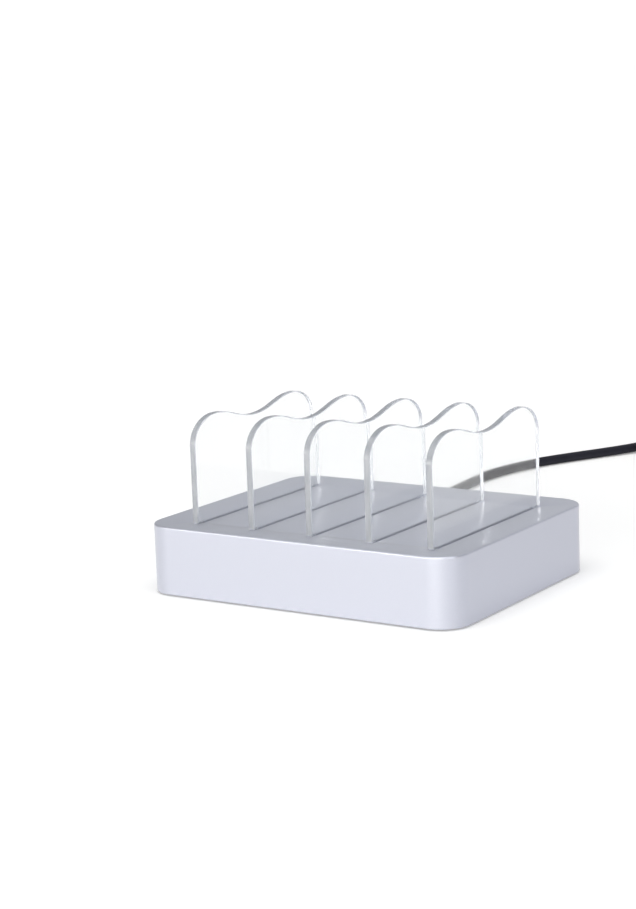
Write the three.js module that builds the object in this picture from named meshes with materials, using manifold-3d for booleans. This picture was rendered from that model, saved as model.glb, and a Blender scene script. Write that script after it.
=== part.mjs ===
// Desktop charging station: a flat silver power unit with four device slots between five clear
// dividers, four USB outlets and a mains inlet in its back, and a detachable mains lead.
// Millimetres, +Z up. The origin is on the floor under the middle of the base, +X runs along the
// long side to the right, and the long front face looks along -Y.

import * as THREE from 'three';
import { mergeVertices } from 'three/addons/utils/BufferGeometryUtils.js';
import Module from 'manifold-3d';

const wasm = await Module();
wasm.setup();

// ---- Driving dimensions -------------------------------------------------------------------

// Base
const baseLength = 160;
const baseDepth = 127;
const shellHeight = 31;
const cornerRadius = 13.5;
const topEdgeRadius = 0.8;
const wall = 2;
const topThickness = 2.5;
const floorGap = 0.8;
const coverRecess = 1;
const coverThickness = 2;
const fit = 0.3;

// Feet
const footRadius = 6.5;
const footInset = 18;

// Clear dividers and the pockets that hold them
const dividerCount = 5;
const dividerPitch = 30.3;
const dividerOffsetX = 2.5;
const dividerOffsetY = -4;
const dividerThickness = 3;
const dividerLength = 97;
const dividerHeight = 48;
const dividerValley = 42.7;
const humpInset = 17;
const shoulderDrop = 12.5;
const tabShoulder = 4;
const tabDepth = 7.5;
const pocketSpare = 0.3;
const sleeveWall = 1.2;

// Screws
const bossInset = 9.5;
const bossRadius = 3.6;
const shankRadius = 1.3;
const headRadius = 2.9;
const headHeight = 1.2;
const coverScrewReach = 8;
const boardScrewReach = 3.3;

// Circuit board on its posts, and the room kept over its parts
const boardSideGap = 17;
const boardDepth = 72;
const ceilingRoom = 1.9;
const pocketRoom = 1.4;
const boardThickness = 1.6;
const boardBackGap = 4.5;
const postHeight = 4;
const postRadius = 3.2;
const boardHoleInsetX = 5;
const boardHoleInsetFront = 5;
const boardHoleInsetBack = 17;

// USB outlets, standard A receptacles
const usbCount = 4;
const usbPitch = 17;
const usbFirstX = 4;
const usbWidth = 13.1;
const usbHeight = 5.8;
const usbDepth = 14;
const usbMetal = 0.3;
const usbFaceRecess = 0.5;
const usbTongueWidth = 11;
const usbTongueThickness = 1.8;
const usbTongueLength = 8.5;
const usbRearBlock = 3;

// Mains inlet, a two-pin figure-of-eight
const inletX = -50;
const inletWidth = 20.4;
const inletHeight = 11;
const inletDepth = 17;
const inletLobeRadius = 4;
const inletLobeSpacing = 6.9;
const inletRecess = 14;
const inletPinSpacing = 8.6;
const inletPinRadius = 1.2;
const inletPinLength = 14;

// Rocker switch
const switchX = -21;
const bezelWidth = 21;
const bezelHeight = 15;
const bezelProud = 0.6;
const bezelFlange = 1;
const switchBodyWidth = 18.8;
const switchBodyHeight = 12.8;
const switchBodyDepth = 13;
const rockerHalfLength = 7.3;
const rockerHeight = 9.2;
const rockerPivotDepth = 4;
const rockerFaceHeight = 3.2;
const rockerTilt = THREE.MathUtils.degToRad(8);
const rockerAxleRadius = 1;

// Mains lead
const cordRadius = 2.6;
const connectorLobeRadius = 3.65;
const connectorNoseLength = 12.5;
const connectorGripWidth = 15.6;
const connectorGripHeight = 9.4;
const connectorGripLength = 22;
const connectorReliefLength = 22;
const coilTurnRadius = 31;
const coilLayerRise = 5.3;
const coilCentre = [25.75, 333.6];
const coilLift = 0.9;
const tieWidth = 12;
const tieThickness = 0.6;
const plugBodyWidth = 35.3;
const plugBodyThickness = 13.7;
const plugBodyLength = 27;
const plugReliefLength = 22;
const plugPinRadius = 2;
const plugPinLength = 19;
const plugPinSpacing = 18.6;

// ---- Derived places -----------------------------------------------------------------------

const topZ = floorGap + shellHeight;
const ceilingZ = topZ - topThickness;
const backY = baseDepth / 2;
const innerBackY = backY - wall;
const coverBottomZ = floorGap + coverRecess;
const coverTopZ = coverBottomZ + coverThickness;
const boardBottomZ = coverTopZ + postHeight;
const boardTopZ = boardBottomZ + boardThickness;
const boardLength = baseLength - 2 * boardSideGap;
const boardBackY = innerBackY - boardBackGap;
const boardCentreY = boardBackY - boardDepth / 2;
const boardFrontY = boardBackY - boardDepth;
const pocketDepth = tabDepth + pocketSpare;
const pocketLength = dividerLength - 2 * tabShoulder + 2 * fit;
const sleeveWidth = dividerThickness + 2 * fit + 2 * sleeveWall;
const sleeveBottomZ = topZ - pocketDepth - sleeveWall;
const channelWidth = dividerPitch - sleeveWidth;
const tallPartHeight = ceilingZ - boardTopZ - ceilingRoom;
const lowPartHeight = sleeveBottomZ - boardTopZ - pocketRoom;
const dividerFirstX = dividerOffsetX - dividerPitch * (dividerCount - 1) / 2;
const usbFrontY = backY - usbFaceRecess;
const usbBackY = usbFrontY - usbDepth;
const usbCentreZ = boardTopZ + usbHeight / 2;
const inletFrontY = backY - fit;
const inletZ = boardTopZ + inletHeight / 2;
const switchZ = boardTopZ + fit + switchBodyHeight / 2;
const bezelFrontY = backY + bezelProud;
const rockerPivotY = bezelFrontY - rockerPivotDepth;

// The uncoiled stretch of the lead, chosen point by point along its centreline.
const cordRoute = [
  [-50, 108.3, 14.9],
  [-50.2, 120, 14.1],
  [-51.2, 134, 11.2],
  [-53.2, 149, 7],
  [-55.9, 164, 3.9],
  [-58.6, 180, 2.8],
  [-60.6, 197, 2.7],
  [-61.3, 214, 2.7],
  [-60.3, 231, 2.7],
  [-57.3, 248, 2.7],
  [-52.7, 263, 2.7],
  [-46.9, 276.4, 2.7],
  [-40.6, 289, 2.7],
  [-33.8, 301.4, 2.7],
  [-26.9, 313.7, 2.8],
  [-20, 326, 3.1],
  [-15.6, 333.9, 3.4],
];

// ---- Helpers ------------------------------------------------------------------------------

const station = new THREE.Group();

function toSolid(geometry) {
  const bare = geometry.clone();
  bare.deleteAttribute('normal');
  bare.deleteAttribute('uv');
  const merged = mergeVertices(bare, 1e-4);
  return new wasm.Manifold(new wasm.Mesh({
    numProp: 3,
    vertProperties: new Float32Array(merged.attributes.position.array),
    triVerts: new Uint32Array(merged.index.array),
  }));
}

function toGeometry(solid) {
  const mesh = solid.getMesh();
  const geometry = new THREE.BufferGeometry();
  geometry.setAttribute('position', new THREE.BufferAttribute(mesh.vertProperties, 3));
  geometry.setIndex(new THREE.BufferAttribute(mesh.triVerts, 1));
  geometry.computeVertexNormals();
  return geometry;
}

function addPiece(name, solid, [color, roughness, metalness], extra = {}) {
  const material = new THREE.MeshStandardMaterial({ color, roughness, metalness, ...extra });
  const mesh = new THREE.Mesh(toGeometry(solid), material);
  mesh.name = name;
  station.add(mesh);
  return mesh;
}

// A box given by its size, the middle of its plan and its underside.
function block(sizeX, sizeY, sizeZ, centreX, centreY, bottomZ) {
  const geometry = new THREE.BoxGeometry(sizeX, sizeY, sizeZ);
  return toSolid(geometry.translate(centreX, centreY, bottomZ + sizeZ / 2));
}

// Round bars along each axis, given by the middle of the end with the lowest coordinate.
function postZ(radius, length, x, y, bottomZ, sides = 20) {
  const geometry = new THREE.CylinderGeometry(radius, radius, length, sides);
  return toSolid(geometry.rotateX(Math.PI / 2).translate(x, y, bottomZ + length / 2));
}

function barY(radiusBack, radiusFront, length, x, frontY, z, sides = 20) {
  const geometry = new THREE.CylinderGeometry(radiusBack, radiusFront, length, sides);
  return toSolid(geometry.translate(x, frontY + length / 2, z));
}

// The outline of a rectangle with round corners, centred on the origin.
function roundedRectangle(width, height, radius) {
  const x = width / 2 - radius;
  const y = height / 2 - radius;
  const shape = new THREE.Shape();
  shape.moveTo(-x, -height / 2);
  shape.lineTo(x, -height / 2);
  shape.absarc(x, -y, radius, -Math.PI / 2, 0, false);
  shape.lineTo(width / 2, y);
  shape.absarc(x, y, radius, 0, Math.PI / 2, false);
  shape.lineTo(-x, height / 2);
  shape.absarc(-x, y, radius, Math.PI / 2, Math.PI, false);
  shape.lineTo(-width / 2, -y);
  shape.absarc(-x, -y, radius, Math.PI, Math.PI * 1.5, false);
  return shape;
}

function extrudeUp(shape, height, bottomZ, curveSegments = 10) {
  const options = { depth: height, bevelEnabled: false, curveSegments };
  return toSolid(new THREE.ExtrudeGeometry(shape, options).translate(0, 0, bottomZ));
}

// Extrudes an outline drawn in X and Z along +Y, from frontY.
function extrudeBack(shape, length, x, frontY, z, curveSegments = 8) {
  const options = { depth: length, bevelEnabled: false, curveSegments };
  const geometry = new THREE.ExtrudeGeometry(shape, options);
  return toSolid(geometry.rotateX(Math.PI / 2).translate(x, frontY + length, z));
}

// Two round lobes side by side, with a slightly narrower waist.
function figureEight(lobeRadius, spacing, length, x, frontY, z) {
  const waist = lobeRadius * 1.76;
  return barY(lobeRadius, lobeRadius, length, x - spacing / 2, frontY, z, 24)
    .add(barY(lobeRadius, lobeRadius, length, x + spacing / 2, frontY, z, 24))
    .add(block(spacing, length, waist, x, frontY + length / 2, z - waist / 2));
}

const dividerXs = Array.from({ length: dividerCount }, (_, i) => dividerFirstX + i * dividerPitch);
const usbXs = Array.from({ length: usbCount }, (_, i) => usbFirstX + i * usbPitch);
const cornerSigns = [[-1, -1], [1, -1], [1, 1], [-1, 1]];
const bossPlaces = cornerSigns.map(([sx, sy]) => [
  sx * (baseLength / 2 - bossInset),
  sy * (baseDepth / 2 - bossInset),
]);
const footPlaces = cornerSigns.map(([sx, sy]) => [
  sx * (baseLength / 2 - footInset),
  sy * (baseDepth / 2 - footInset),
]);
const boardHoles = cornerSigns.map(([sx, sy]) => [
  sx * (boardLength / 2 - boardHoleInsetX),
  sy < 0 ? boardFrontY + boardHoleInsetFront : boardBackY - boardHoleInsetBack,
]);

// ---- Finishes: colour, roughness, metalness -----------------------------------------------

const silver = [0xd3d8e0, 0.35, 0.55];
const clear = [0xe8eef2, 0.08, 0];
const rubber = [0x2b2b2d, 0.85, 0];
const darkPlastic = [0x26272b, 0.55, 0];
const coverPlastic = [0xb9bdc4, 0.6, 0.1];
const steel = [0xb8bcc2, 0.3, 0.95];
const brass = [0xc9b27a, 0.3, 0.95];
const board = [0x1f5a3a, 0.6, 0];
const ferrite = [0x3a3a3e, 0.7, 0.1];
const tape = [0xd9b33a, 0.6, 0];
const sleeve = [0x23315a, 0.45, 0];
const aluminium = [0xa9adb3, 0.45, 0.9];
const copper = [0x8a4a24, 0.5, 0.3];
const leadBlack = [0x36363f, 0.6, 0];

// ---- Casing -------------------------------------------------------------------------------

function upperShell() {
  const outline = roundedRectangle(
    baseLength - 2 * topEdgeRadius,
    baseDepth - 2 * topEdgeRadius,
    cornerRadius - topEdgeRadius,
  );
  const spareHeight = 5;
  const bevelled = new THREE.ExtrudeGeometry(outline, {
    depth: shellHeight,
    bevelThickness: topEdgeRadius,
    bevelSize: topEdgeRadius,
    bevelSegments: 3,
    curveSegments: 10,
  });
  let shell = toSolid(bevelled.translate(0, 0, topZ - shellHeight - topEdgeRadius))
    .subtract(block(2 * baseLength, 2 * baseDepth, spareHeight, 0, 0, floorGap - spareHeight));
  const cavity = roundedRectangle(baseLength - 2 * wall, baseDepth - 2 * wall, cornerRadius - wall);
  shell = shell.subtract(extrudeUp(cavity, ceilingZ, 0));

  for (const [x, y] of bossPlaces) {
    shell = shell.add(postZ(bossRadius, ceilingZ - coverTopZ + 1, x, y, coverTopZ));
    shell = shell.subtract(postZ(shankRadius + fit, coverScrewReach + 1, x, y, coverTopZ - 1));
  }

  const sleeveLength = pocketLength + 2 * sleeveWall;
  for (const x of dividerXs) {
    shell = shell.add(block(
      sleeveWidth, sleeveLength, pocketDepth + sleeveWall - topEdgeRadius,
      x, dividerOffsetY, sleeveBottomZ,
    ));
  }
  for (const x of dividerXs) {
    shell = shell.subtract(block(
      dividerThickness + 2 * fit, pocketLength, pocketDepth + spareHeight,
      x, dividerOffsetY, topZ - pocketDepth,
    ));
  }

  const cutDepth = wall + 2;
  for (const x of usbXs) {
    shell = shell.subtract(block(
      usbWidth + 2 * fit, cutDepth, usbHeight + 2 * fit,
      x, backY - wall / 2, boardTopZ - fit,
    ));
  }
  shell = shell.subtract(block(
    inletWidth + 2 * fit, cutDepth, inletHeight + 2 * fit,
    inletX, backY - wall / 2, boardTopZ - fit,
  ));
  return shell.subtract(block(
    switchBodyWidth + 2 * fit, cutDepth, switchBodyHeight + 2 * fit,
    switchX, backY - wall / 2, switchZ - switchBodyHeight / 2 - fit,
  ));
}

function bottomCover() {
  const inset = wall + fit;
  const outline = roundedRectangle(
    baseLength - 2 * inset,
    baseDepth - 2 * inset,
    cornerRadius - inset,
  );
  let cover = extrudeUp(outline, coverThickness, coverBottomZ);
  for (const [x, y] of bossPlaces) {
    cover = cover
      .subtract(postZ(shankRadius + fit, coverThickness + 2, x, y, coverBottomZ - 1))
      .subtract(postZ(headRadius + fit, headHeight + 1, x, y, coverBottomZ - 1));
  }
  const pilotFloor = 0.5;
  for (const [x, y] of boardHoles) {
    cover = cover
      .add(postZ(postRadius, postHeight + coverThickness / 2, x, y, coverTopZ - coverThickness / 2))
      .subtract(postZ(shankRadius + fit, postHeight, x, y, coverTopZ + pilotFloor));
  }
  return cover;
}

addPiece('upper_shell', upperShell(), silver);
addPiece('bottom_cover', bottomCover(), coverPlastic);

footPlaces.forEach(([x, y], i) => {
  addPiece(`rubber_foot_${i + 1}`, postZ(footRadius, coverBottomZ, x, y, 0, 28), rubber);
});

bossPlaces.forEach(([x, y], i) => {
  const screw = postZ(headRadius, headHeight, x, y, coverBottomZ)
    .add(postZ(shankRadius, coverScrewReach, x, y, coverBottomZ + headHeight / 2, 12));
  addPiece(`cover_screw_${i + 1}`, screw, steel);
});

// ---- Clear dividers -----------------------------------------------------------------------

// Half an ellipse quarter up each corner, then a smooth wave down to the valley in the middle.
function dividerOutline() {
  const half = dividerLength / 2;
  const tabHalf = half - tabShoulder;
  const cornerBase = dividerHeight - shoulderDrop;
  const humpY = half - humpInset;
  const ellipse = 0.5523;
  const wave = humpY * 0.42;
  const shape = new THREE.Shape();
  shape.moveTo(-tabHalf, -tabDepth);
  shape.lineTo(tabHalf, -tabDepth);
  shape.lineTo(tabHalf, 0);
  shape.lineTo(half, 0);
  shape.lineTo(half, cornerBase);
  shape.bezierCurveTo(
    half, cornerBase + shoulderDrop * ellipse,
    humpY + humpInset * ellipse, dividerHeight,
    humpY, dividerHeight,
  );
  shape.bezierCurveTo(humpY - wave, dividerHeight, wave, dividerValley, 0, dividerValley);
  shape.bezierCurveTo(-wave, dividerValley, wave - humpY, dividerHeight, -humpY, dividerHeight);
  shape.bezierCurveTo(
    -humpY - humpInset * ellipse, dividerHeight,
    -half, cornerBase + shoulderDrop * ellipse,
    -half, cornerBase,
  );
  shape.lineTo(-half, 0);
  shape.lineTo(-tabHalf, 0);
  return shape;
}

dividerXs.forEach((x, i) => {
  const options = { depth: dividerThickness, bevelEnabled: false, curveSegments: 10 };
  const geometry = new THREE.ExtrudeGeometry(dividerOutline(), options)
    .rotateX(Math.PI / 2)
    .rotateZ(Math.PI / 2)
    .translate(x - dividerThickness / 2, dividerOffsetY, topZ);
  addPiece(`divider_${i + 1}`, toSolid(geometry), clear, { transparent: true, opacity: 0.4 });
});

// ---- USB outlets --------------------------------------------------------------------------

usbXs.forEach((x, i) => {
  const can = block(usbWidth, usbDepth, usbHeight, x, usbFrontY - usbDepth / 2, boardTopZ)
    .subtract(block(
      usbWidth - 2 * usbMetal, usbDepth + 2, usbHeight - 2 * usbMetal,
      x, usbFrontY - usbDepth / 2, boardTopZ + usbMetal,
    ));
  addPiece(`usb_socket_shell_${i + 1}`, can, steel);

  const inner = usbMetal + 0.1;
  const rear = block(
    usbWidth - 2 * inner, usbRearBlock, usbHeight - 2 * inner,
    x, usbBackY + usbRearBlock / 2, boardTopZ + inner,
  );
  const tongueZ = usbCentreZ + usbTongueThickness * 0.3;
  const tongue = block(
    usbTongueWidth, usbTongueLength + 1, usbTongueThickness,
    x, usbBackY + usbRearBlock + (usbTongueLength - 1) / 2, tongueZ,
  );
  addPiece(`usb_contact_block_${i + 1}`, rear.add(tongue), darkPlastic);
});

// ---- Mains inlet --------------------------------------------------------------------------

function inletHousing() {
  let housing = block(
    inletWidth, inletDepth, inletHeight,
    inletX, inletFrontY - inletDepth / 2, boardTopZ,
  ).subtract(figureEight(
    inletLobeRadius, inletLobeSpacing, inletRecess + 2,
    inletX, inletFrontY - inletRecess, inletZ,
  ));
  for (const side of [-1, 1]) {
    housing = housing.subtract(barY(
      inletPinRadius + fit, inletPinRadius + fit, inletDepth + 2,
      inletX + side * inletPinSpacing / 2, inletFrontY - inletDepth - 1, inletZ, 12,
    ));
  }
  return housing;
}

addPiece('inlet_housing', inletHousing(), darkPlastic);

[-1, 1].forEach((side, i) => {
  const pin = barY(
    inletPinRadius, inletPinRadius, inletPinLength,
    inletX + side * inletPinSpacing / 2, inletFrontY - inletDepth, inletZ, 12,
  );
  addPiece(`inlet_pin_${i + 1}`, pin, brass);
});

// ---- Rocker switch ------------------------------------------------------------------------

const rockerReach = Math.hypot(
  rockerHalfLength,
  rockerFaceHeight + rockerHalfLength * Math.tan(rockerTilt),
);
const rockerWindow = 2 * rockerReach;
const rockerWindowHeight = rockerHeight + 2 * fit;
const switchBackY = backY - switchBodyDepth;

function switchFrame() {
  const bezel = roundedRectangle(bezelWidth, bezelHeight, 1);
  let frame = extrudeBack(bezel, bezelProud, switchX, backY, switchZ, 3)
    .add(block(
      switchBodyWidth, switchBodyDepth + bezelProud / 2, switchBodyHeight,
      switchX, backY + bezelProud / 2 - (switchBodyDepth + bezelProud / 2) / 2,
      switchZ - switchBodyHeight / 2,
    ))
    .subtract(block(
      rockerWindow, rockerPivotDepth * 2 + 3, rockerWindowHeight,
      switchX, bezelFrontY - rockerPivotDepth + 0.5, switchZ - rockerWindowHeight / 2,
    ))
    .subtract(postZ(
      rockerAxleRadius + fit, rockerWindowHeight + 2 * bezelFlange,
      switchX, rockerPivotY, switchZ - rockerWindowHeight / 2 - bezelFlange, 16,
    ));
  for (const side of [-1, 1]) {
    frame = frame.add(block(4.8, 7, 0.8, switchX + side * 5, switchBackY - 2.5, switchZ - 0.4));
  }
  return frame;
}

// Seen from above: two flat faces that meet in a shallow V, over a narrower back.
function rocker() {
  const endY = rockerFaceHeight + rockerHalfLength * Math.tan(rockerTilt);
  const backHalf = rockerHalfLength * 0.5;
  const shape = new THREE.Shape();
  shape.moveTo(-backHalf, -rockerFaceHeight);
  shape.lineTo(backHalf, -rockerFaceHeight);
  shape.lineTo(rockerHalfLength - 0.6, 1);
  shape.lineTo(rockerHalfLength, endY);
  shape.lineTo(0, rockerFaceHeight);
  shape.lineTo(-rockerHalfLength, endY);
  shape.lineTo(0.6 - rockerHalfLength, 1);
  const body = extrudeUp(shape, rockerHeight, -rockerHeight / 2);
  const axleLength = rockerWindowHeight + 2 * bezelFlange - 2 * fit;
  return body.add(postZ(rockerAxleRadius, axleLength, 0, 0, -axleLength / 2, 12));
}

addPiece('switch_frame', switchFrame(), darkPlastic);
const rockerMesh = addPiece('switch_rocker', rocker(), darkPlastic);
rockerMesh.position.set(switchX, rockerPivotY, switchZ);
rockerMesh.rotation.z = -rockerTilt;

// A short insulated wire from each switch tab down to the board.
[-1, 1].forEach((side, i) => {
  const wireRadius = 0.8;
  const startY = switchBackY - 6 - fit;
  const x = switchX + side * 5;
  const curve = new THREE.CubicBezierCurve3(
    new THREE.Vector3(x, startY, switchZ),
    new THREE.Vector3(x, startY - 6, switchZ),
    new THREE.Vector3(x, startY - 6, boardTopZ + 5),
    new THREE.Vector3(x, startY - 6, boardTopZ + fit),
  );
  const section = new THREE.Shape();
  section.absarc(0, 0, wireRadius, 0, Math.PI * 2, false);
  const options = { steps: 8, extrudePath: curve, curveSegments: 4 };
  addPiece(`switch_wire_${i + 1}`, toSolid(new THREE.ExtrudeGeometry(section, options)), darkPlastic);
});

// ---- Circuit board and what stands on it --------------------------------------------------

let mainBoard = block(boardLength, boardDepth, boardThickness, 0, boardCentreY, boardBottomZ);
for (const [x, y] of boardHoles) {
  mainBoard = mainBoard.subtract(postZ(shankRadius + fit, 4, x, y, boardBottomZ - 1));
}
addPiece('main_board', mainBoard, board);

boardHoles.forEach(([x, y], i) => {
  const screw = postZ(headRadius, headHeight, x, y, boardTopZ)
    .add(postZ(shankRadius, boardThickness + boardScrewReach, x, y, boardTopZ - boardThickness
      - boardScrewReach + headHeight / 2, 12));
  addPiece(`board_screw_${i + 1}`, screw, steel);
});

// Free channels between the divider pockets, where the tall parts stand. Every part's place is
// counted from the board's back edge.
const channelXs = dividerXs.slice(1).map((x) => x - dividerPitch / 2);

const fuseHeight = 8;
addPiece('line_fuse', postZ(4.2, fuseHeight, inletX, boardBackY - 19, boardTopZ), darkPlastic);
addPiece(
  'line_filter_capacitor',
  block(7, 13, lowPartHeight, inletX + 17, boardBackY - 21, boardTopZ),
  tape,
);

const chokeOuter = 8;
const chokeInner = 4;
const chokeHeight = 8;
const chokeProfile = [
  new THREE.Vector2(chokeInner, 0),
  new THREE.Vector2(chokeOuter, 0),
  new THREE.Vector2(chokeOuter, chokeHeight),
  new THREE.Vector2(chokeInner, chokeHeight),
  new THREE.Vector2(chokeInner, 0),
];
const chokeRing = new THREE.LatheGeometry(chokeProfile, 24)
  .rotateX(Math.PI / 2)
  .translate(channelXs[0], boardBackY - 37, boardTopZ);
addPiece('line_filter_choke', toSolid(chokeRing), copper);

addPiece(
  'bridge_rectifier',
  block(4, 15, lowPartHeight - 1, dividerXs[1], boardBackY - 44, boardTopZ),
  darkPlastic,
);
addPiece(
  'bulk_capacitor',
  postZ(8, tallPartHeight, channelXs[0], boardBackY - 58, boardTopZ, 32),
  sleeve,
);

// A heat sink stands a little in from the left side of its channel, with fins on that side and
// a power part flat against the other.
const sinkThickness = 2;
const sinkLength = 26;
const sinkInset = 6.1;
const finReach = 2.5;
const packageThickness = 4.5;

function sinkX(channelX) {
  return channelX - channelWidth / 2 + sinkInset;
}

function heatSink(x, y) {
  const height = tallPartHeight - 2;
  const finCount = 4;
  let sink = block(sinkThickness, sinkLength, height, x, y, boardTopZ);
  for (let i = 0; i < finCount; i += 1) {
    const finZ = boardTopZ + 3 + i * (height - 4) / (finCount - 1);
    const finX = x - sinkThickness / 2 - finReach / 2 + 0.5;
    sink = sink.add(block(finReach + 1, sinkLength, 1, finX, y, finZ - 0.5));
  }
  return sink;
}

function powerPackage(x, y) {
  const legHeight = 3;
  let part = block(packageThickness, 10, tallPartHeight - legHeight, x, y, boardTopZ + legHeight);
  for (const leg of [-1, 0, 1]) {
    part = part.add(block(0.7, 0.9, legHeight + 1, x, y + leg * 2.54, boardTopZ));
  }
  return part;
}

function addSinkWithPart(sinkName, partName, channelX, y) {
  const x = sinkX(channelX);
  addPiece(sinkName, heatSink(x, y), aluminium);
  addPiece(partName, powerPackage(x + (sinkThickness + packageThickness) / 2, y), darkPlastic);
}

addSinkWithPart('primary_heat_sink', 'primary_transistor', channelXs[1], boardBackY - 51);
addSinkWithPart('output_heat_sink', 'output_rectifier', channelXs[3], boardBackY - 45);

// Transformer: a three-limbed core round a taped bobbin.
const coreSideGap = 1.1;
const coreWidth = channelWidth - 2 * coreSideGap;
const coreHeight = tallPartHeight - 1;
const coreDepth = 11;
const coreLimb = 3.5;
const coreCentre = 7;
const bobbinOverhang = 5;
const windowHeight = coreHeight - 2 * coreLimb;
const windowWidth = (coreWidth - 2 * coreLimb - coreCentre) / 2;
const transformerX = channelXs[2];
const transformerY = boardBackY - 49;

let transformerCore = block(
  coreWidth, coreDepth, coreHeight, transformerX, transformerY, boardTopZ,
);
for (const side of [-1, 1]) {
  transformerCore = transformerCore.subtract(block(
    windowWidth, coreDepth + 2, windowHeight,
    transformerX + side * (coreCentre + windowWidth) / 2, transformerY, boardTopZ + coreLimb,
  ));
}
addPiece('transformer_core', transformerCore, ferrite);

const winding = block(
  coreWidth - 2 * coreLimb - 2 * fit, coreDepth + 2 * bobbinOverhang, windowHeight - 2 * fit,
  transformerX, transformerY, boardTopZ + coreLimb + fit,
).subtract(block(
  coreCentre + 2 * fit, coreDepth + 2 * fit, windowHeight + 2,
  transformerX, transformerY, boardTopZ + coreLimb - 1,
));
addPiece('transformer_winding', winding, tape);

const capacitorRadius = 4;
const capacitorX = channelXs[3] + channelWidth / 2 - capacitorRadius - 1;
[57, 35, 26].forEach((fromBack, i) => {
  const can = postZ(capacitorRadius, lowPartHeight, capacitorX, boardBackY - fromBack, boardTopZ);
  addPiece(`output_capacitor_${i + 1}`, can, sleeve);
});
addPiece(
  'opto_coupler',
  block(6.5, 4.6, 3.5, transformerX, boardBackY - 25, boardTopZ),
  darkPlastic,
);

// ---- Mains lead ---------------------------------------------------------------------------

const gripFrontY = backY + fit;
const gripBackY = gripFrontY + connectorGripLength;
const reliefEndY = gripBackY + connectorReliefLength;

function leadConnector() {
  const grip = roundedRectangle(connectorGripWidth, connectorGripHeight, 3.2);
  let connector = figureEight(
    connectorLobeRadius, inletLobeSpacing, connectorNoseLength + 1,
    inletX, gripFrontY - connectorNoseLength, inletZ,
  )
    .add(extrudeBack(grip, connectorGripLength, inletX, gripFrontY, inletZ, 4))
    .add(barY(cordRadius + 0.7, cordRadius + 1.8, connectorReliefLength + 1, inletX,
      gripBackY - 1, inletZ));
  for (const side of [-1, 1]) {
    connector = connector.subtract(barY(
      inletPinRadius + fit, inletPinRadius + fit, connectorNoseLength + 1,
      inletX + side * inletPinSpacing / 2, gripFrontY - connectorNoseLength - 1, inletZ, 12,
    ));
  }
  return connector;
}

addPiece('lead_connector', leadConnector(), leadBlack);

const cordCurve = new THREE.CatmullRomCurve3(
  cordRoute.map((point) => new THREE.Vector3(...point)),
  false,
  'centripetal',
);
const cordSection = new THREE.Shape();
cordSection.absarc(0, 0, cordRadius, 0, Math.PI * 2, false);
const cordOptions = { steps: 26, extrudePath: cordCurve, curveSegments: 5 };
addPiece('lead_cord', toSolid(new THREE.ExtrudeGeometry(cordSection, cordOptions)), leadBlack);

// The spare length in a round coil: three turns side by side below and two above them.
const coilInner = coilTurnRadius - 3 * cordRadius;
const coilOuter = coilTurnRadius + 3 * cordRadius;
const coilHeight = 2 * cordRadius + coilLayerRise;
const coilProfile = [
  new THREE.Vector2(coilInner, 0),
  new THREE.Vector2(coilOuter, 0),
  new THREE.Vector2(coilOuter, cordRadius * 1.6),
  new THREE.Vector2(coilOuter - cordRadius, coilHeight),
  new THREE.Vector2(coilInner + cordRadius, coilHeight),
  new THREE.Vector2(coilInner, cordRadius * 1.6),
  new THREE.Vector2(coilInner, 0),
];
const coilRing = new THREE.LatheGeometry(coilProfile, 40)
  .rotateX(Math.PI / 2)
  .translate(coilCentre[0], coilCentre[1], coilLift);
addPiece('lead_coil', toSolid(coilRing), leadBlack);

// A strap round the bundle of turns, on the side away from the plug.
function coilTie() {
  const near = Math.sqrt(coilInner ** 2 - (tieWidth / 2) ** 2) - fit;
  const far = coilOuter + fit;
  const y = coilCentre[1] - (near + far) / 2;
  const height = coilHeight + 2 * fit;
  const low = coilLift - fit;
  return block(
    tieWidth, far - near + 2 * tieThickness, height + 2 * tieThickness,
    coilCentre[0], y, low - tieThickness,
  ).subtract(block(tieWidth + 2, far - near, height, coilCentre[0], y, low));
}

addPiece('coil_tie', coilTie(), rubber);

// The plug lies on the floor beside the coil, where the last upper turn runs out.
const plugHeading = THREE.MathUtils.degToRad(-15);
const lastTurnRadius = coilTurnRadius + cordRadius;
const reliefTipRadius = cordRadius + 0.7;
const coilEdgeAtPlug = coilOuter - 0.4 * cordRadius + fit;
const runOut = Math.sqrt(coilEdgeAtPlug ** 2 - (lastTurnRadius - reliefTipRadius) ** 2) + fit;
const plugPlace = [
  coilCentre[0] - lastTurnRadius * Math.sin(plugHeading) + runOut * Math.cos(plugHeading),
  coilCentre[1] + lastTurnRadius * Math.cos(plugHeading) + runOut * Math.sin(plugHeading),
  plugBodyThickness / 2,
];

// Pieces of the plug are drawn with the cord along +Y and then turned to its heading.
function addPlugPiece(name, solid, finish) {
  const mesh = addPiece(name, solid, finish);
  mesh.position.set(...plugPlace);
  mesh.rotation.z = plugHeading - Math.PI / 2;
}

const plugFrontY = plugReliefLength + plugBodyLength;
const plugPinRoot = 8;
let plugBody = barY(cordRadius + 1.8, cordRadius + 0.7, plugReliefLength + 1, 0, 0, 0)
  .add(extrudeBack(
    roundedRectangle(plugBodyWidth, plugBodyThickness, 5),
    plugBodyLength, 0, plugReliefLength, 0, 5,
  ));
for (const side of [-1, 1]) {
  plugBody = plugBody.subtract(barY(
    plugPinRadius + fit, plugPinRadius + fit, plugPinRoot + 1,
    side * plugPinSpacing / 2, plugFrontY - plugPinRoot, 0, 16,
  ));
}
addPlugPiece('plug_body', plugBody, leadBlack);

[-1, 1].forEach((side, i) => {
  const pinLength = plugPinRoot - fit + plugPinLength;
  const pin = barY(
    plugPinRadius, plugPinRadius, pinLength,
    side * plugPinSpacing / 2, plugFrontY + plugPinLength - pinLength, 0, 16,
  );
  addPlugPiece(`plug_pin_${i + 1}`, pin, brass);
});

export default station;
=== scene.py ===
import math

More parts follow.
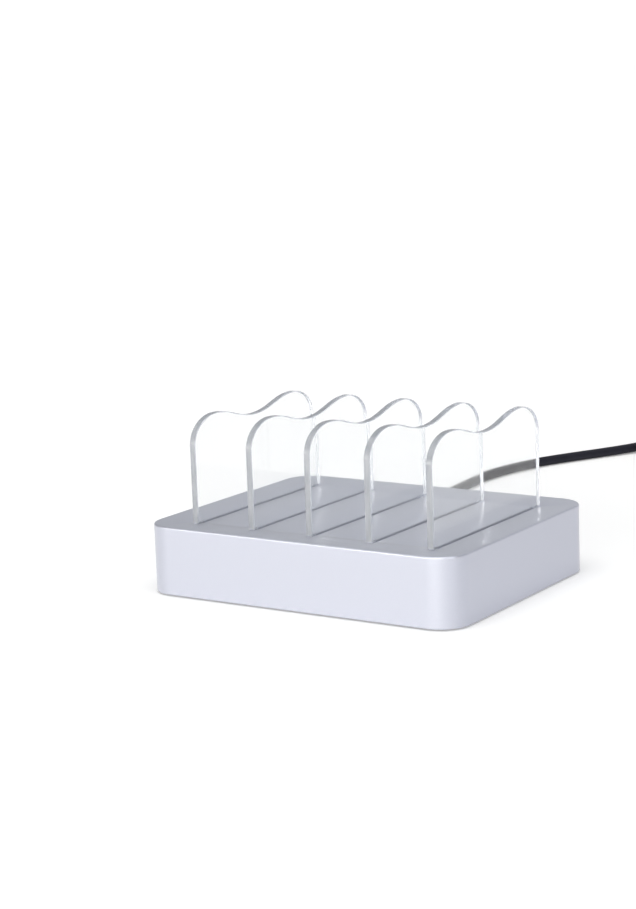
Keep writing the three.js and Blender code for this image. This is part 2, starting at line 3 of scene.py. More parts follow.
import bpy
import numpy as np
from mathutils import Matrix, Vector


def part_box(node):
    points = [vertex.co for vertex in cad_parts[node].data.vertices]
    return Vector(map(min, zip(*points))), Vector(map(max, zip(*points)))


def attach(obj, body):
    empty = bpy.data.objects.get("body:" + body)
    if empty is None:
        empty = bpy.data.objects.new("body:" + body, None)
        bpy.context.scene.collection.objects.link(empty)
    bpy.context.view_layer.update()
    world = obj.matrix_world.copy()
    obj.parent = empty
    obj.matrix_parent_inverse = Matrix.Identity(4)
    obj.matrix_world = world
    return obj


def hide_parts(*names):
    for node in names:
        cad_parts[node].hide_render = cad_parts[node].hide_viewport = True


# Desktop charging station: a flat silver power unit with five clear dividers, four charging
# outlets, a rocker switch and a mains inlet in its back, and a detachable mains lead.
# Metres, +Z up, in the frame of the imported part. A new surface is an outline or a profile
# carried along a path, worked out as whole arrays.

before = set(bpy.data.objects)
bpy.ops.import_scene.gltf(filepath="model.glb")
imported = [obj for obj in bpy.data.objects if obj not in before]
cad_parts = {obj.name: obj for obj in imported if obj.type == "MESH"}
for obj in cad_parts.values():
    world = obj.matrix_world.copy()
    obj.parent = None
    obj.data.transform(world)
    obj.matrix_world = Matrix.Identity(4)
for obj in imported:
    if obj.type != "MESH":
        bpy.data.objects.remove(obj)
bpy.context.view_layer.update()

MM = 0.001
QUARTER = np.pi / 2


def corners_of(node):
    """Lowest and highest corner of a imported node, as arrays."""
    low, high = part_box(node)
    return np.array(low, float), np.array(high, float)


def middle_of(node, axis="z"):
    """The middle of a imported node, in the two coordinates square to an axis."""
    low, high = corners_of(node)
    return ((low + high) / 2)[[0, 1] if axis == "z" else [0, 2]]


# ---- Named values ---------------------------------------------------------------------------

# Camera, counted from the middle of the base and the shell's lower edge
CAMERA_PLACE = (514.27 * MM, -827.5 * MM, 243.19 * MM)
CAMERA_YAW = math.radians(33.13)
CAMERA_PITCH = math.radians(10.739)
CAMERA_ROLL = math.radians(-1.948)
CAMERA_LENS = 87.04

# Light tent, lamps and floor
FRONT_GLOW = 16.5
GLOW_TOP = 0.5
BACK_GLOW = 0.65
SIDE_GLOW = 0.15
BACKDROP_GLOW = 1.1
COOL_WHITE = (0.95, 0.97, 1.0, 1)
WARM_WHITE = (1.0, 0.98, 0.9, 1)
OVERHEAD_STRENGTH = 1.9
OVERHEAD_SPREAD = math.radians(70)
OVERHEAD_AZIMUTH = math.radians(10)
OVERHEAD_ELEVATION = math.radians(80)
STRIP_POWER = 0.78
STRIP_SIZE = (0.1, 0.4)
STRIP_PLACE = np.array([0.75, -0.3, 0.2])
STRIP_AIM = np.array([0.07, -0.06, 0.02])
FLOOR_REACH = 14
FLOOR_GLOW = 0.18

# Patterns: the middle of a noise's range, and a wave's bands to the metre
MIDDLE = (0.3, 0.7)
BAND_SCALE = 0.314

# Casing
CORNER_RADIUS = 13.5 * MM
TOP_EDGE_RADIUS = 0.8 * MM
LOWER_EDGE_RADIUS = 0.25 * MM
WALL = 2 * MM
TOP_THICKNESS = 2.5 * MM
FIT = 0.3 * MM
GUARD = 0.12 * MM
MOUTH_EASE = 0.25 * MM
SLEEVE_WALL = 1.2 * MM
POCKET_SPARE = 0.3 * MM
BOSS_INSET = 9.5 * MM
BOSS_RADIUS = 3.6 * MM
SHANK_RADIUS = 1.3 * MM
COVER_SCREW_REACH = 8 * MM
COVER_THICKNESS = 2 * MM
FOOT_COUNT = 4

# Screws
THREAD_PITCH = 0.9 * MM
THREAD_DEPTH = 0.22 * MM
HEAD_RISE = 0.35 * MM
CROSS_DEPTH = 0.75 * MM

# Clear dividers
DIVIDER_COUNT = 5
HUMP_INSET = 17 * MM
SHOULDER_DROP = 12.5 * MM
VALLEY_DROP = 5.3 * MM
TAB_SHOULDER = 4 * MM
POLISH = 0.3 * MM

# Outlets and inlet
OUTLET_COUNT = 4
OUTLET_METAL = 0.3 * MM
CONTACT_PLACES = (-3.5 * MM, -1.25 * MM, 1.25 * MM, 3.5 * MM)
TONGUE = (11 * MM, 1.8 * MM)
TONGUE_LIFT = 0.54 * MM
INLET_LOBE_RADIUS = 4 * MM
INLET_LOBE_SPACING = 6.9 * MM
INLET_RECESS = 14 * MM
INLET_PIN_SPACING = 8.6 * MM
WAIST = 0.88

# Rocker switch
ROCKER_HALF_LENGTH = 7.3 * MM
ROCKER_FACE_HEIGHT = 3.2 * MM
ROCKER_HEIGHT = 9.2 * MM
ROCKER_TILT = math.radians(8)
ROCKER_SAG = 0.35 * MM
ROCKER_PIVOT_DEPTH = 4 * MM
SWITCH_BODY = (18.8 * MM, 12.8 * MM, 13 * MM)
SWITCH_TAB = (4.8 * MM, 0.8 * MM)
SWITCH_TAB_PLACE = 5 * MM
MARK_PLACE = 3.9 * MM
PRINT_ROOT = -0.15 * MM
PRINT_LIFT = 0.03 * MM

# Mains lead
CORD_RADIUS = 2.6 * MM
COIL_TURN_RADIUS = 31 * MM
COIL_LAYER_RISE = 5.3 * MM
COIL_ENTRY = math.radians(150.7)
COIL_SWEEP = 1515.7
RELIEF_ROOT = CORD_RADIUS + 1.8 * MM
RELIEF_TIP = CORD_RADIUS + 0.7 * MM
CONNECTOR_LOBE_RADIUS = 3.65 * MM
CONNECTOR_GRIP = (15.6 * MM, 9.4 * MM, 22 * MM)
CONNECTOR_BORE_RADIUS = 1.45 * MM
CONNECTOR_BORE_DEPTH = 11 * MM
RELIEF_LENGTH = 22 * MM
RELIEF_SLOTS = 6
LEAD_TUCK = 5 * MM
PLUG_HEADING = math.radians(-15)
PLUG_BODY = (35.3 * MM, 13.7 * MM, 27 * MM)
PLUG_PIN_RADIUS = 2 * MM
PLUG_PIN_LENGTH = 19 * MM
PLUG_PIN_SPACING = 18.6 * MM

# The uncoiled stretch of the lead, point by point along its centreline
CORD_ROUTE = np.array([
    (-50, 108.3, 14.9), (-50.2, 120, 14.1), (-51.2, 134, 11.2), (-53.2, 149, 7),
    (-55.9, 164, 3.9), (-58.6, 180, 2.8), (-60.6, 197, 2.7), (-61.3, 214, 2.7),
    (-60.3, 231, 2.7), (-57.3, 248, 2.7), (-52.7, 263, 2.7), (-46.9, 276.4, 2.7),
    (-40.6, 289, 2.7), (-33.8, 301.4, 2.7), (-26.9, 313.7, 2.8), (-20, 326, 3.1),
    (-15.6, 333.9, 3.4),
]) * MM

shell_low, shell_high = corners_of("upper_shell")
cover_low, cover_high = corners_of("bottom_cover")
coil_low, coil_high = corners_of("lead_coil")
TOP_Z = shell_high[2]
CEILING_Z = TOP_Z - TOP_THICKNESS
BACK_Y = shell_high[1]
BASE_SIZE = shell_high - shell_low
COIL_CENTRE = (coil_low + coil_high) / 2
COIL_FLOOR_Z = coil_low[2] + CORD_RADIUS


# ---- Outlines and profiles ------------------------------------------------------------------

def round_rectangle(width, depth, radius, steps=8):
    """Rectangle with quarter-circle corners, counter-clockwise. A guard point sits a little way
    along the straight side from each end of each arc, so that the flats stay flat."""
    radius = max(radius, 0.02 * MM)
    turn = np.linspace(0, QUARTER, steps + 1)
    corner = np.vstack([
        [radius, -GUARD],
        radius * np.column_stack([np.cos(turn), np.sin(turn)]),
        [-GUARD, radius],
    ])
    reach = np.array([width / 2 - radius, depth / 2 - radius])
    quarters = []
    for quarter, signs in enumerate(((1, 1), (-1, 1), (-1, -1), (1, -1))):
        c, s = math.cos(quarter * math.pi / 2), math.sin(quarter * math.pi / 2)
        quarters.append(corner @ np.array([[c, s], [-s, c]]) + reach * signs)
    return np.vstack(quarters)


def circle(radius, count=48):
    """Points spaced evenly round a circle, counter-clockwise."""
    angle = np.arange(count) * 2 * np.pi / count
    return radius * np.column_stack([np.cos(angle), np.sin(angle)])


def ray_angles(count=96):
    """Directions spaced evenly round the middle of an outline."""
    return (np.arange(count) + 0.5) * 2 * np.pi / count


def ray_rectangle(width, height, radius, angle):
    """Round-cornered rectangle met along rays from its middle: the nearer of the two sides, or
    the corner's circle where the ray passes through that corner's square."""
    half = np.array([width / 2, height / 2])
    c, s = np.abs(np.cos(angle)), np.abs(np.sin(angle))
    reach = np.minimum(half[0] / np.maximum(c, 1e-9), half[1] / np.maximum(s, 1e-9))
    centre = half - radius
    along = c * centre[0] + s * centre[1]
    off = centre[0] ** 2 + centre[1] ** 2 - radius ** 2
    on_arc = along + np.sqrt(np.maximum(along ** 2 - off, 0))
    in_corner = (reach * c > centre[0]) & (reach * s > centre[1])
    return with_rays(np.where(in_corner, on_arc, reach), angle)


def ray_figure_eight(lobe, spacing, angle):
    """Two round lobes side by side with a slightly narrower waist, met along rays from the
    middle: the further of the lobe's circle and the waist's flat."""
    c, s = np.abs(np.cos(angle)), np.abs(np.sin(angle))
    half = spacing / 2
    on_lobe = half * c + np.sqrt(np.maximum(lobe ** 2 - (half * s) ** 2, 0))
    on_waist = WAIST * lobe / np.maximum(s, 1e-9)
    in_waist = on_waist * c < half
    return with_rays(np.where(in_waist, np.maximum(on_lobe, on_waist), on_lobe), angle)


def with_rays(reach, angle):
    """Points at a distance along each ray."""
    return np.column_stack([reach * np.cos(angle), reach * np.sin(angle)])


def drawn_in(outline, distance):
    """Moves each point of a closed counter-clockwise outline inwards along the mitre of its two
    neighbouring edges."""
    edge = np.roll(outline, -1, axis=0) - outline
    edge /= np.linalg.norm(edge, axis=1, keepdims=True)
    normal = np.column_stack([edge[:, 1], -edge[:, 0]])
    before = np.roll(normal, 1, axis=0)
    share = 1 + np.sum(before * normal, axis=1, keepdims=True)
    return outline - distance * (before + normal) / np.maximum(share, 0.2)


def eased_ends(low, high, near, far, steps=5):
    """(inset, height) pairs up the side of a bar whose end edges are rounded by the radii near
    and far, with guard pairs just beyond each end of each round."""
    turn = np.linspace(0, QUARTER, steps + 1)
    lower = np.column_stack([near * (1 - np.sin(turn)), low + near * (1 - np.cos(turn))])
    upper = np.column_stack([far * (1 - np.cos(turn)), high - far * (1 - np.sin(turn))])
    guard = min(GUARD, (high - low) / 8)
    return np.vstack([
        [near + guard, low], lower, [0, low + near + guard],
        [0, high - far - guard], upper, [far + guard, high],
    ])


def flared_mouth(bottom, edge, ease, steps):
    """(inset, height) pairs of a cutter that opens out by a quarter round up to an edge."""
    turn = np.linspace(0, QUARTER, steps)
    lip = np.column_stack([ease * (np.cos(turn) - 1), edge - ease * (1 - np.sin(turn))])
    return np.vstack([[0, bottom], lip, [-ease, edge + 1 * MM]])


def dome(radius, end, gap, steps):
    """(radius, height) pairs over the round end of a pin, stopping short of its middle."""
    turn = np.linspace(0, QUARTER - gap, steps)
    return np.column_stack([radius * np.cos(turn), end - radius * (1 - np.sin(turn))])


def bezier(start, first, second, end, count):
    """Points along a cubic curve, without its last one."""
    t = np.linspace(0, 1, count, endpoint=False)[:, None]
    start, first, second, end = (np.array(p, float) for p in (start, first, second, end))
    return ((1 - t) ** 3 * start + 3 * (1 - t) ** 2 * t * first
            + 3 * (1 - t) * t ** 2 * second + t ** 3 * end)


def smooth(value, low, high):
    """0 below low, 1 above high, and an even S-curve between them."""
    t = np.clip((value - low) / (high - low), 0, 1)
    return t * t * (3 - 2 * t)


# ---- Forms: points and faces ----------------------------------------------------------------

AXIS_ORDER = {"z": (0, 1, 2), "y": (0, 2, 1), "x": (2, 0, 1)}


def stacked(outline_at, profile, axis="z"):
    """One loop of the outline for each (inset, height) pair of the profile, with the height
    counted along the axis."""
    loops = [(outline_at(inset), height) for inset, height in profile]
    rows = [np.column_stack([loop, np.full(len(loop), height)]) for loop, height in loops]
    return np.stack(rows)[..., AXIS_ORDER[axis]]


def loft(rows, ring=False):
    """Joins neighbouring loops of a (loops, points, 3) array with four-sided faces. The end
    loops are capped, or joined to each other where the surface closes on itself. The faces are
    turned over if the volume they close comes out negative."""
    loops, count = rows.shape[:2]
    loop = np.arange(loops if ring else loops - 1)[:, None]
    point = np.arange(count)[None, :]
    after, beside = (loop + 1) % loops, (point + 1) % count
    quads = np.stack([
        loop * count + point, loop * count + beside,
        after * count + beside, after * count + point,
    ], axis=-1).reshape(-1, 4)
    caps = [] if ring else [np.arange(count)[::-1], np.arange((loops - 1) * count, loops * count)]
    fans = [np.column_stack([np.full(count - 2, cap[0]), cap[1:-1], cap[2:]]) for cap in caps]
    corners = rows.reshape(-1, 3)[np.vstack([quads[:, [0, 1, 2]], quads[:, [0, 2, 3]], *fans])]
    volume = np.einsum("ij,ij->", corners[:, 0], np.cross(corners[:, 1], corners[:, 2]))
    step = 1 if volume > 0 else -1
    faces = quads[:, ::step].tolist() + [cap[::step].tolist() for cap in caps]
    return rows.reshape(-1, 3), faces


def together(*forms):
    """Several forms as one."""
    points, faces, start = [], [], 0
    for form_points, form_faces in forms:
        points.append(form_points)
        faces += [[corner + start for corner in face] for face in form_faces]
        start += len(form_points)
    return np.vstack(points), faces


def square_to_y(outline, y):
    """An outline as one loop square to Y."""
    return np.column_stack([outline[:, 0], np.full(len(outline), y), outline[:, 1]])


def moved(form, offset):
    """The form shifted by an offset."""
    return form[0] + np.array(offset), form[1]


def turned(form, angle, centre):
    """The form turned about the upright axis through its own origin, then set at the centre."""
    c, s = math.cos(angle), math.sin(angle)
    turn = np.array([[c, s, 0], [-s, c, 0], [0, 0, 1]])
    return form[0] @ turn + np.array(centre), form[1]


def block(size, corner, profile, centre=(0, 0), axis="z", steps=8, ring=False):
    """A round-cornered rectangle carried along an axis, drawn in by each inset of the profile's
    (inset, height) pairs. The centre is in the two coordinates square to the axis."""
    rows = stacked(lambda inset: centre + round_rectangle(
        size[0] - 2 * inset, size[1] - 2 * inset, corner - inset, steps), profile, axis)
    return loft(rows, ring)


def bar(axis, size, corner, span, centre, ease=(0, 0), steps=5):
    """A block over the span of an axis, with its end edges rounded."""
    return block(size, corner, eased_ends(*span, *ease, steps), centre, axis, steps)


def spun(profile, centre, axis="z", count=48):
    """A turned piece: each (radius, height) pair of the profile is one circle."""
    return loft(stacked(lambda radius: circle(radius, count) + centre, profile, axis))


def rod(radius, span, centre, axis="z", count=48):
    """A plain round rod or drill over the span of an axis."""
    return spun([(radius, end) for end in span], centre, axis, count)


def carved(form, joined=(), cut=()):
    """The form with closed blocks joined to it, and then closed cutters taken out of it."""
    body = loose_object("carving", form)
    tools = []
    for operation, forms in (("UNION", joined), ("DIFFERENCE", cut)):
        if forms:
            tool = loose_object("tool", together(*forms))
            step = body.modifiers.new(operation, "BOOLEAN")
            step.operation, step.solver, step.object = operation, "MANIFOLD", tool
            tools.append(tool)
    result = body.evaluated_get(bpy.context.evaluated_depsgraph_get()).to_mesh()
    points = np.empty(len(result.vertices) * 3)
    result.vertices.foreach_get("co", points)
    faces = [list(face.vertices) for face in result.polygons]
    for each in (body, *tools):
        mesh = each.data
        bpy.data.objects.remove(each)
        bpy.data.meshes.remove(mesh)
    return points.reshape(-1, 3), faces


def loose_object(name, form):
    """An object that holds a form, in the scene but on no body."""
    mesh = bpy.data.meshes.new(name)
    mesh.from_pydata(form[0].tolist(), [], form[1])
    held = bpy.data.objects.new(name, mesh)
    bpy.context.collection.objects.link(held)
    return held


def add_piece(name, form, material, slot, body="base", stands_for=(), crease=30):
    """Puts a form into the scene with its finish, smooth but for edges sharper than the crease,
    riding on its body."""
    piece = loose_object(name, form)
    mesh = piece.data
    mesh.materials.append(material)
    mesh.polygons.foreach_set("use_smooth", np.ones(len(mesh.polygons), bool))
    mesh.set_sharp_from_angle(angle=math.radians(crease))
    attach(piece, body)
    if stands_for:
        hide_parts(*stands_for)
    return piece


# ---- Finishes -------------------------------------------------------------------------------

def finish(name, colour, roughness, metallic=0.0, **sockets):
    """A new material whose constant values sit on the shader's own sockets."""
    material = bpy.data.materials.new(name)
    material.use_nodes = True
    material.diffuse_color = (*colour, 1)
    values = {"Base Color": (*colour, 1), "Roughness": roughness, "Metallic": metallic, **sockets}
    for socket, value in values.items():
        shader_of(material).inputs[socket.replace("_", " ")].default_value = value
    return material


def shader_of(material):
    """The material's shader."""
    return material.node_tree.nodes["Principled BSDF"]


def add_node(tree, kind, values=None, feeds=None):
    """A new node, with constant values on some inputs and other nodes' outputs fed to others."""
    node = tree.nodes.new("ShaderNode" + kind)
    for socket, value in (values or {}).items():
        node.inputs[socket].default_value = value
    for socket, source in (feeds or {}).items():
        tree.links.new(source, node.inputs[socket])
    return node


def placed(material, stretch):
    """Object coordinates, stretched to suit a pattern."""
    tree = material.node_tree
    place = add_node(tree, "TexCoord").outputs["Object"]
    return add_node(tree, "Mapping", {"Scale": stretch}, {"Vector": place}).outputs["Vector"]


def grain(material, size, detail=2.0, stretch=(1, 1, 1)):
    """Soft noise whose blotches are about one size across."""
    return add_node(material.node_tree, "TexNoise", {"Scale": 1 / size, "Detail": detail},
                    {"Vector": placed(material, stretch)}).outputs["Fac"]


def cells(material, size):
    """Small round pits, packed side by side."""
    return add_node(material.node_tree, "TexVoronoi", {"Scale": 1 / size},
                    {"Vector": placed(material, (1, 1, 1))}).outputs["Distance"]


def ripples(material, size, stretch=(1, 1, 1), distortion=0.0):
    """Even bands along X, one size apart."""
    values = {"Scale": BAND_SCALE / size, "Distortion": distortion}
    return add_node(material.node_tree, "TexWave", values,
                    {"Vector": placed(material, stretch)}).outputs["Fac"]


def tint(material, pattern, dark, light, span=MIDDLE):
    """Base colour from dark to light by a pattern."""
    tree = material.node_tree
    ramp = add_node(tree, "ValToRGB", feeds={"Fac": pattern})
    for stop, place, colour in zip(ramp.color_ramp.elements, span, (dark, light)):
        stop.position = place
        stop.color = (*colour, 1)
    tree.links.new(ramp.outputs["Color"], shader_of(material).inputs["Base Color"])


def polish(material, pattern, low, high):
    """Roughness from low to high by the middle of a pattern's range."""
    tree = material.node_tree
    values = dict(zip(("From Min", "From Max", "To Min", "To Max"), (*MIDDLE, low, high)))
    result = add_node(tree, "MapRange", values, {"Value": pattern}).outputs["Result"]
    tree.links.new(result, shader_of(material).inputs["Roughness"])


def relief(material, pattern, height):
    """A bump that high, on top of any that the material has already."""
    tree = material.node_tree
    normal = shader_of(material).inputs["Normal"]
    bump = add_node(tree, "Bump", {"Distance": height}, {"Height": pattern})
    if normal.links:
        tree.links.new(normal.links[0].from_socket, bump.inputs["Normal"])
    tree.links.new(bump.outputs["Normal"], normal)


def satin_silver():
    """Silver lacquer on moulded plastic: fine flake, faint orange peel and a thin clear coat."""
    m = finish("satin_silver_lacquer", (0.47, 0.484, 0.562), 0.3, 0.55,
               Coat_Weight=0.3, Coat_Roughness=0.18)
    tint(m, grain(m, 0.5 * MM, 2.0), (0.462, 0.476, 0.554), (0.478, 0.492, 0.57))
    relief(m, grain(m, 1.1 * MM, 1.0), 0.002 * MM)
    return m


def clear_acrylic():
    """Cast acrylic with a faint milky veil, a painted reflection of the white surroundings, and a
    few hairline rub marks. Lamps shine through.
    """
    # Transmission under one leaves a faint diffuse white: a painted reflection of the white
    # surroundings
    m = finish("clear_acrylic_sheet", (0.975, 0.98, 0.985), 0.03, 0.0,
               Transmission_Weight=0.98, IOR=1.25)
    polish(m, grain(m, 14 * MM, 1.0, (1, 1, 3)), 0.015, 0.05)
    relief(m, grain(m, 30 * MM, 0.0), 0.003 * MM)
    let_lamps_through(m, (0.94, 0.945, 0.95))
    return m


def edge_painted_glow():
    """The flame-polished edge of the sheet, painted milky and light: painted light that stands in
    for the light the sheet carries out through its edges.
    """
    m = finish("acrylic_edge_painted_glow", (0.64, 0.67, 0.74), 0.2, 0.0,
               Transmission_Weight=0.6, IOR=1.45)
    tint(m, grain(m, 2.5 * MM, 3.0, (1, 1, 0.25)), (0.57, 0.6, 0.67), (0.73, 0.76, 0.83))
    relief(m, grain(m, 0.6 * MM, 2.0, (1, 1, 0.2)), 0.002 * MM)
    let_lamps_through(m, (0.82, 0.83, 0.84))
    return m


def let_lamps_through(material, colour):
    """Shadow rays pass through the sheet, tinted, as they do through real clear plastic."""
    tree = material.node_tree
    shadow = add_node(tree, "LightPath").outputs["Is Shadow Ray"]
    open_air = add_node(tree, "BsdfTransparent", {"Color": (*colour, 1)}).outputs["BSDF"]
    feeds = {"Fac": shadow, 1: shader_of(material).outputs["BSDF"], 2: open_air}
    mix = add_node(tree, "MixShader", feeds=feeds)
    tree.links.new(mix.outputs["Shader"], tree.nodes["Material Output"].inputs["Surface"])


def lead_vinyl():
    """Soft black vinyl: matt, with a faint bloom and fine extrusion texture."""
    m = finish("black_lead_vinyl", (0.013, 0.013, 0.021), 0.6, 0.0, Specular_IOR_Level=0.18)
    tint(m, grain(m, 6 * MM, 4.0), (0.011, 0.011, 0.018), (0.016, 0.016, 0.025))
    polish(m, grain(m, 3 * MM, 3.0), 0.5, 0.62)
    relief(m, grain(m, 0.35 * MM, 3.0), 0.012 * MM)
    return m


def moulded_black():
    """Hard black plastic with a spark-eroded texture."""
    m = finish("moulded_black_plastic", (0.022, 0.022, 0.025), 0.42)
    tint(m, grain(m, 5 * MM, 3.0), (0.018, 0.018, 0.021), (0.03, 0.03, 0.033))
    polish(m, grain(m, 1.2 * MM, 2.0), 0.36, 0.5)
    relief(m, grain(m, 0.25 * MM, 2.0), 0.01 * MM)
    return m


def rocker_gloss():
    """The rocker's smoother black plastic, a little worn where the finger lands."""
    m = finish("rocker_black_plastic", (0.016, 0.016, 0.018), 0.26)
    tint(m, grain(m, 4 * MM, 3.0), (0.014, 0.014, 0.016), (0.022, 0.022, 0.025))
    polish(m, grain(m, 2.4 * MM, 4.0), 0.18, 0.36)
    relief(m, grain(m, 0.5 * MM, 2.0), 0.004 * MM)
    return m


def grey_cover():
    """Fine textured grey plastic of the underside."""
    m = finish("textured_grey_plastic", (0.46, 0.475, 0.5), 0.55)
    tint(m, grain(m, 8 * MM, 4.0), (0.43, 0.445, 0.47), (0.49, 0.505, 0.53))
    polish(m, grain(m, 2 * MM, 2.0), 0.5, 0.62)
    relief(m, cells(m, 0.45 * MM), 0.02 * MM)
    return m


def foot_rubber():
    """Matt black rubber with a dusty bloom."""
    m = finish("foot_rubber_black", (0.02, 0.02, 0.021), 0.85)
    tint(m, grain(m, 2 * MM, 5.0), (0.016, 0.016, 0.017), (0.05, 0.05, 0.05))
    relief(m, grain(m, 0.3 * MM, 4.0), 0.03 * MM)
    return m


def metal(name, dark, light, low, high, brushed=(1, 1, 1)):
    """Plated or bare metal: brushed grain and uneven polish."""
    middle = tuple((a + b) / 2 for a, b in zip(dark, light))
    m = finish(name, middle, (low + high) / 2, 1.0)
    tint(m, grain(m, 1.5 * MM, 4.0), dark, light)
    polish(m, grain(m, 0.8 * MM, 4.0, brushed), low, high)
    relief(m, grain(m, 0.2 * MM, 3.0, brushed), 0.004 * MM)
    return m


def laminate_green():
    """Solder mask over copper tracks: darker between the tracks, glossy."""
    m = finish("solder_mask_green", (0.02, 0.13, 0.06), 0.3, 0.0, Coat_Weight=0.4)
    tracks = ripples(m, 3.2 * MM, (1, 0.35, 1), 6.0)
    tint(m, tracks, (0.012, 0.085, 0.04), (0.03, 0.17, 0.08), (0.35, 0.6))
    polish(m, grain(m, 4 * MM, 2.0), 0.22, 0.36)
    relief(m, tracks, 0.03 * MM)
    return m


def ferrite_grey():
    """Fired ferrite: dark, dry and finely pitted."""
    m = finish("ferrite_dark_grey", (0.045, 0.045, 0.05), 0.7)
    tint(m, grain(m, 0.8 * MM, 5.0), (0.03, 0.03, 0.034), (0.075, 0.075, 0.08))
    relief(m, grain(m, 0.3 * MM, 5.0), 0.03 * MM)
    return m


def yellow_tape():
    """Polyester tape round the windings, with its lapped edges."""
    m = finish("yellow_polyester_tape", (0.78, 0.52, 0.06), 0.35, 0.0, Coat_Weight=0.2)
    tint(m, grain(m, 5 * MM, 3.0), (0.70, 0.45, 0.05), (0.85, 0.60, 0.09))
    relief(m, ripples(m, 2.2 * MM, (0.2, 1, 0.2)), 0.04 * MM)
    return m


def copper_enamel():
    """Enamelled copper wire, wound side by side."""
    m = finish("enamelled_copper", (0.45, 0.16, 0.06), 0.28, 0.85, Coat_Weight=0.5)
    tint(m, grain(m, 1.5 * MM, 2.0), (0.38, 0.12, 0.045), (0.56, 0.22, 0.09))
    relief(m, ripples(m, 0.8 * MM, (1, 1, 0.3)), 0.1 * MM)
    return m


def printed_sleeve():
    """The shrunk vinyl sleeve of a capacitor: deep blue and slightly wrinkled."""
    m = finish("capacitor_sleeve_blue", (0.02, 0.035, 0.13), 0.3, 0.0, Coat_Weight=0.3)
    tint(m, grain(m, 3 * MM, 3.0), (0.015, 0.028, 0.11), (0.03, 0.05, 0.17))
    relief(m, grain(m, 1.5 * MM, 2.0, (1, 1, 0.3)), 0.03 * MM)
    return m


def white_print():
    """White printing ink, slightly worn."""
    m = finish("white_print_ink", (0.8, 0.8, 0.79), 0.5)
    tint(m, grain(m, 0.3 * MM, 4.0), (0.7, 0.7, 0.69), (0.86, 0.86, 0.85))
    return m


def strap_weave():
    """Black hook-and-loop strap: a fine basket weave with fuzz."""
    m = finish("black_strap_weave", (0.02, 0.02, 0.022), 0.8, 0.0, Sheen_Weight=0.4)
    tint(m, grain(m, 0.5 * MM, 4.0), (0.014, 0.014, 0.016), (0.04, 0.04, 0.042))
    relief(m, ripples(m, 0.5 * MM, (1, 0, 0)), 0.06 * MM)
    relief(m, ripples(m, 0.5 * MM, (0, 1, 1)), 0.06 * MM)
    return m


SILVER = satin_silver()
CLEAR = clear_acrylic()
# Edge finish: painted light, a milky glow standing in for the light carried along the sheet
EDGE_PAINTED_GLOW = edge_painted_glow()
VINYL = lead_vinyl()
BLACK = moulded_black()
ROCKER_BLACK = rocker_gloss()
COVER_GREY = grey_cover()
RUBBER = foot_rubber()
STEEL = metal("bright_plated_steel", (0.56, 0.57, 0.58), (0.72, 0.73, 0.75), 0.18, 0.34)
BRASS = metal("gold_flashed_brass", (0.72, 0.52, 0.24), (0.86, 0.66, 0.34), 0.16, 0.3)
NICKEL = metal("nickelled_pin", (0.60, 0.58, 0.54), (0.76, 0.74, 0.69), 0.12, 0.28)
ALUMINIUM = metal("extruded_aluminium", (0.60, 0.61, 0.62), (0.72, 0.73, 0.74), 0.3, 0.5,
                  (1, 0.05, 1))
LAMINATE = laminate_green()
FERRITE = ferrite_grey()
TAPE = yellow_tape()
COPPER = copper_enamel()
SLEEVE = printed_sleeve()
WHITE_INK = white_print()
STRAP = strap_weave()


# ---- Camera, floor and light ----------------------------------------------------------------

def framed(right, up, back, place):
    """The matrix of a camera or lamp at a place, from its three axes."""
    rows = zip(np.column_stack([right, up, back]), place)
    return Matrix([[*row, offset] for row, offset in rows] + [[0, 0, 0, 1]])


def set_camera():
    """A long lens held a little above the top, to the right of the front face. Its axes come
    from the yaw, the pitch down and the roll."""
    data = bpy.data.cameras.new("camera")
    data.lens = CAMERA_LENS
    data.clip_end = 50
    camera = bpy.data.objects.new("camera", data)
    bpy.context.collection.objects.link(camera)
    cy, sy = math.cos(CAMERA_YAW), math.sin(CAMERA_YAW)
    cp, sp = math.cos(CAMERA_PITCH), math.sin(CAMERA_PITCH)
    cr, sr = math.cos(CAMERA_ROLL), math.sin(CAMERA_ROLL)
    forward = np.array([-sy * cp, cy * cp, -sp])
    level = np.array([cy, sy, 0])
    above = np.cross(level, forward)
    right = cr * level + sr * above
    up = -sr * level + cr * above
    place = np.array(CAMERA_PLACE) + (0, 0, shell_low[2])
    camera.matrix_world = framed(right, up, -forward, place)
    bpy.context.scene.camera = camera


def set_floor():
    """A wide plain white floor."""
    corners = np.array([(-1, -1, 0), (1, -1, 0), (1, 1, 0), (-1, 1, 0)]) * FLOOR_REACH
    floor = loose_object("floor", (corners, [[0, 1, 2, 3]]))
    floor.data.materials.append(finish(
        "lit_white_table", (0.9, 0.9, 0.9), 0.9, 0.0, Specular_IOR_Level=0.1,
        Emission_Color=(1, 1, 1, 1), Emission_Strength=FLOOR_GLOW,
    ))


def add_overhead():
    """A soft distant lamp. Its azimuth is counted from the front face's side towards +X."""
    data = bpy.data.lights.new("overhead", "SUN")
    data.energy, data.angle = OVERHEAD_STRENGTH, OVERHEAD_SPREAD
    lamp = bpy.data.objects.new("overhead", data)
    bpy.context.collection.objects.link(lamp)
    lamp.rotation_euler = (QUARTER - OVERHEAD_ELEVATION, 0, OVERHEAD_AZIMUTH)


def add_strip():
    """A soft upright strip lamp on the right, turned towards the base."""
    data = bpy.data.lights.new("strip", "AREA")
    data.shape, data.size, data.size_y = "RECTANGLE", *STRIP_SIZE
    data.energy = STRIP_POWER
    lamp = bpy.data.objects.new("strip", data)
    lamp.visible_camera = False
    bpy.context.collection.objects.link(lamp)
    away = STRIP_PLACE - STRIP_AIM
    away /= np.linalg.norm(away)
    side = np.cross([0, 0, 1], away)
    side /= np.linalg.norm(side)
    lamp.matrix_world = framed(side, np.cross(away, side), away, STRIP_PLACE)


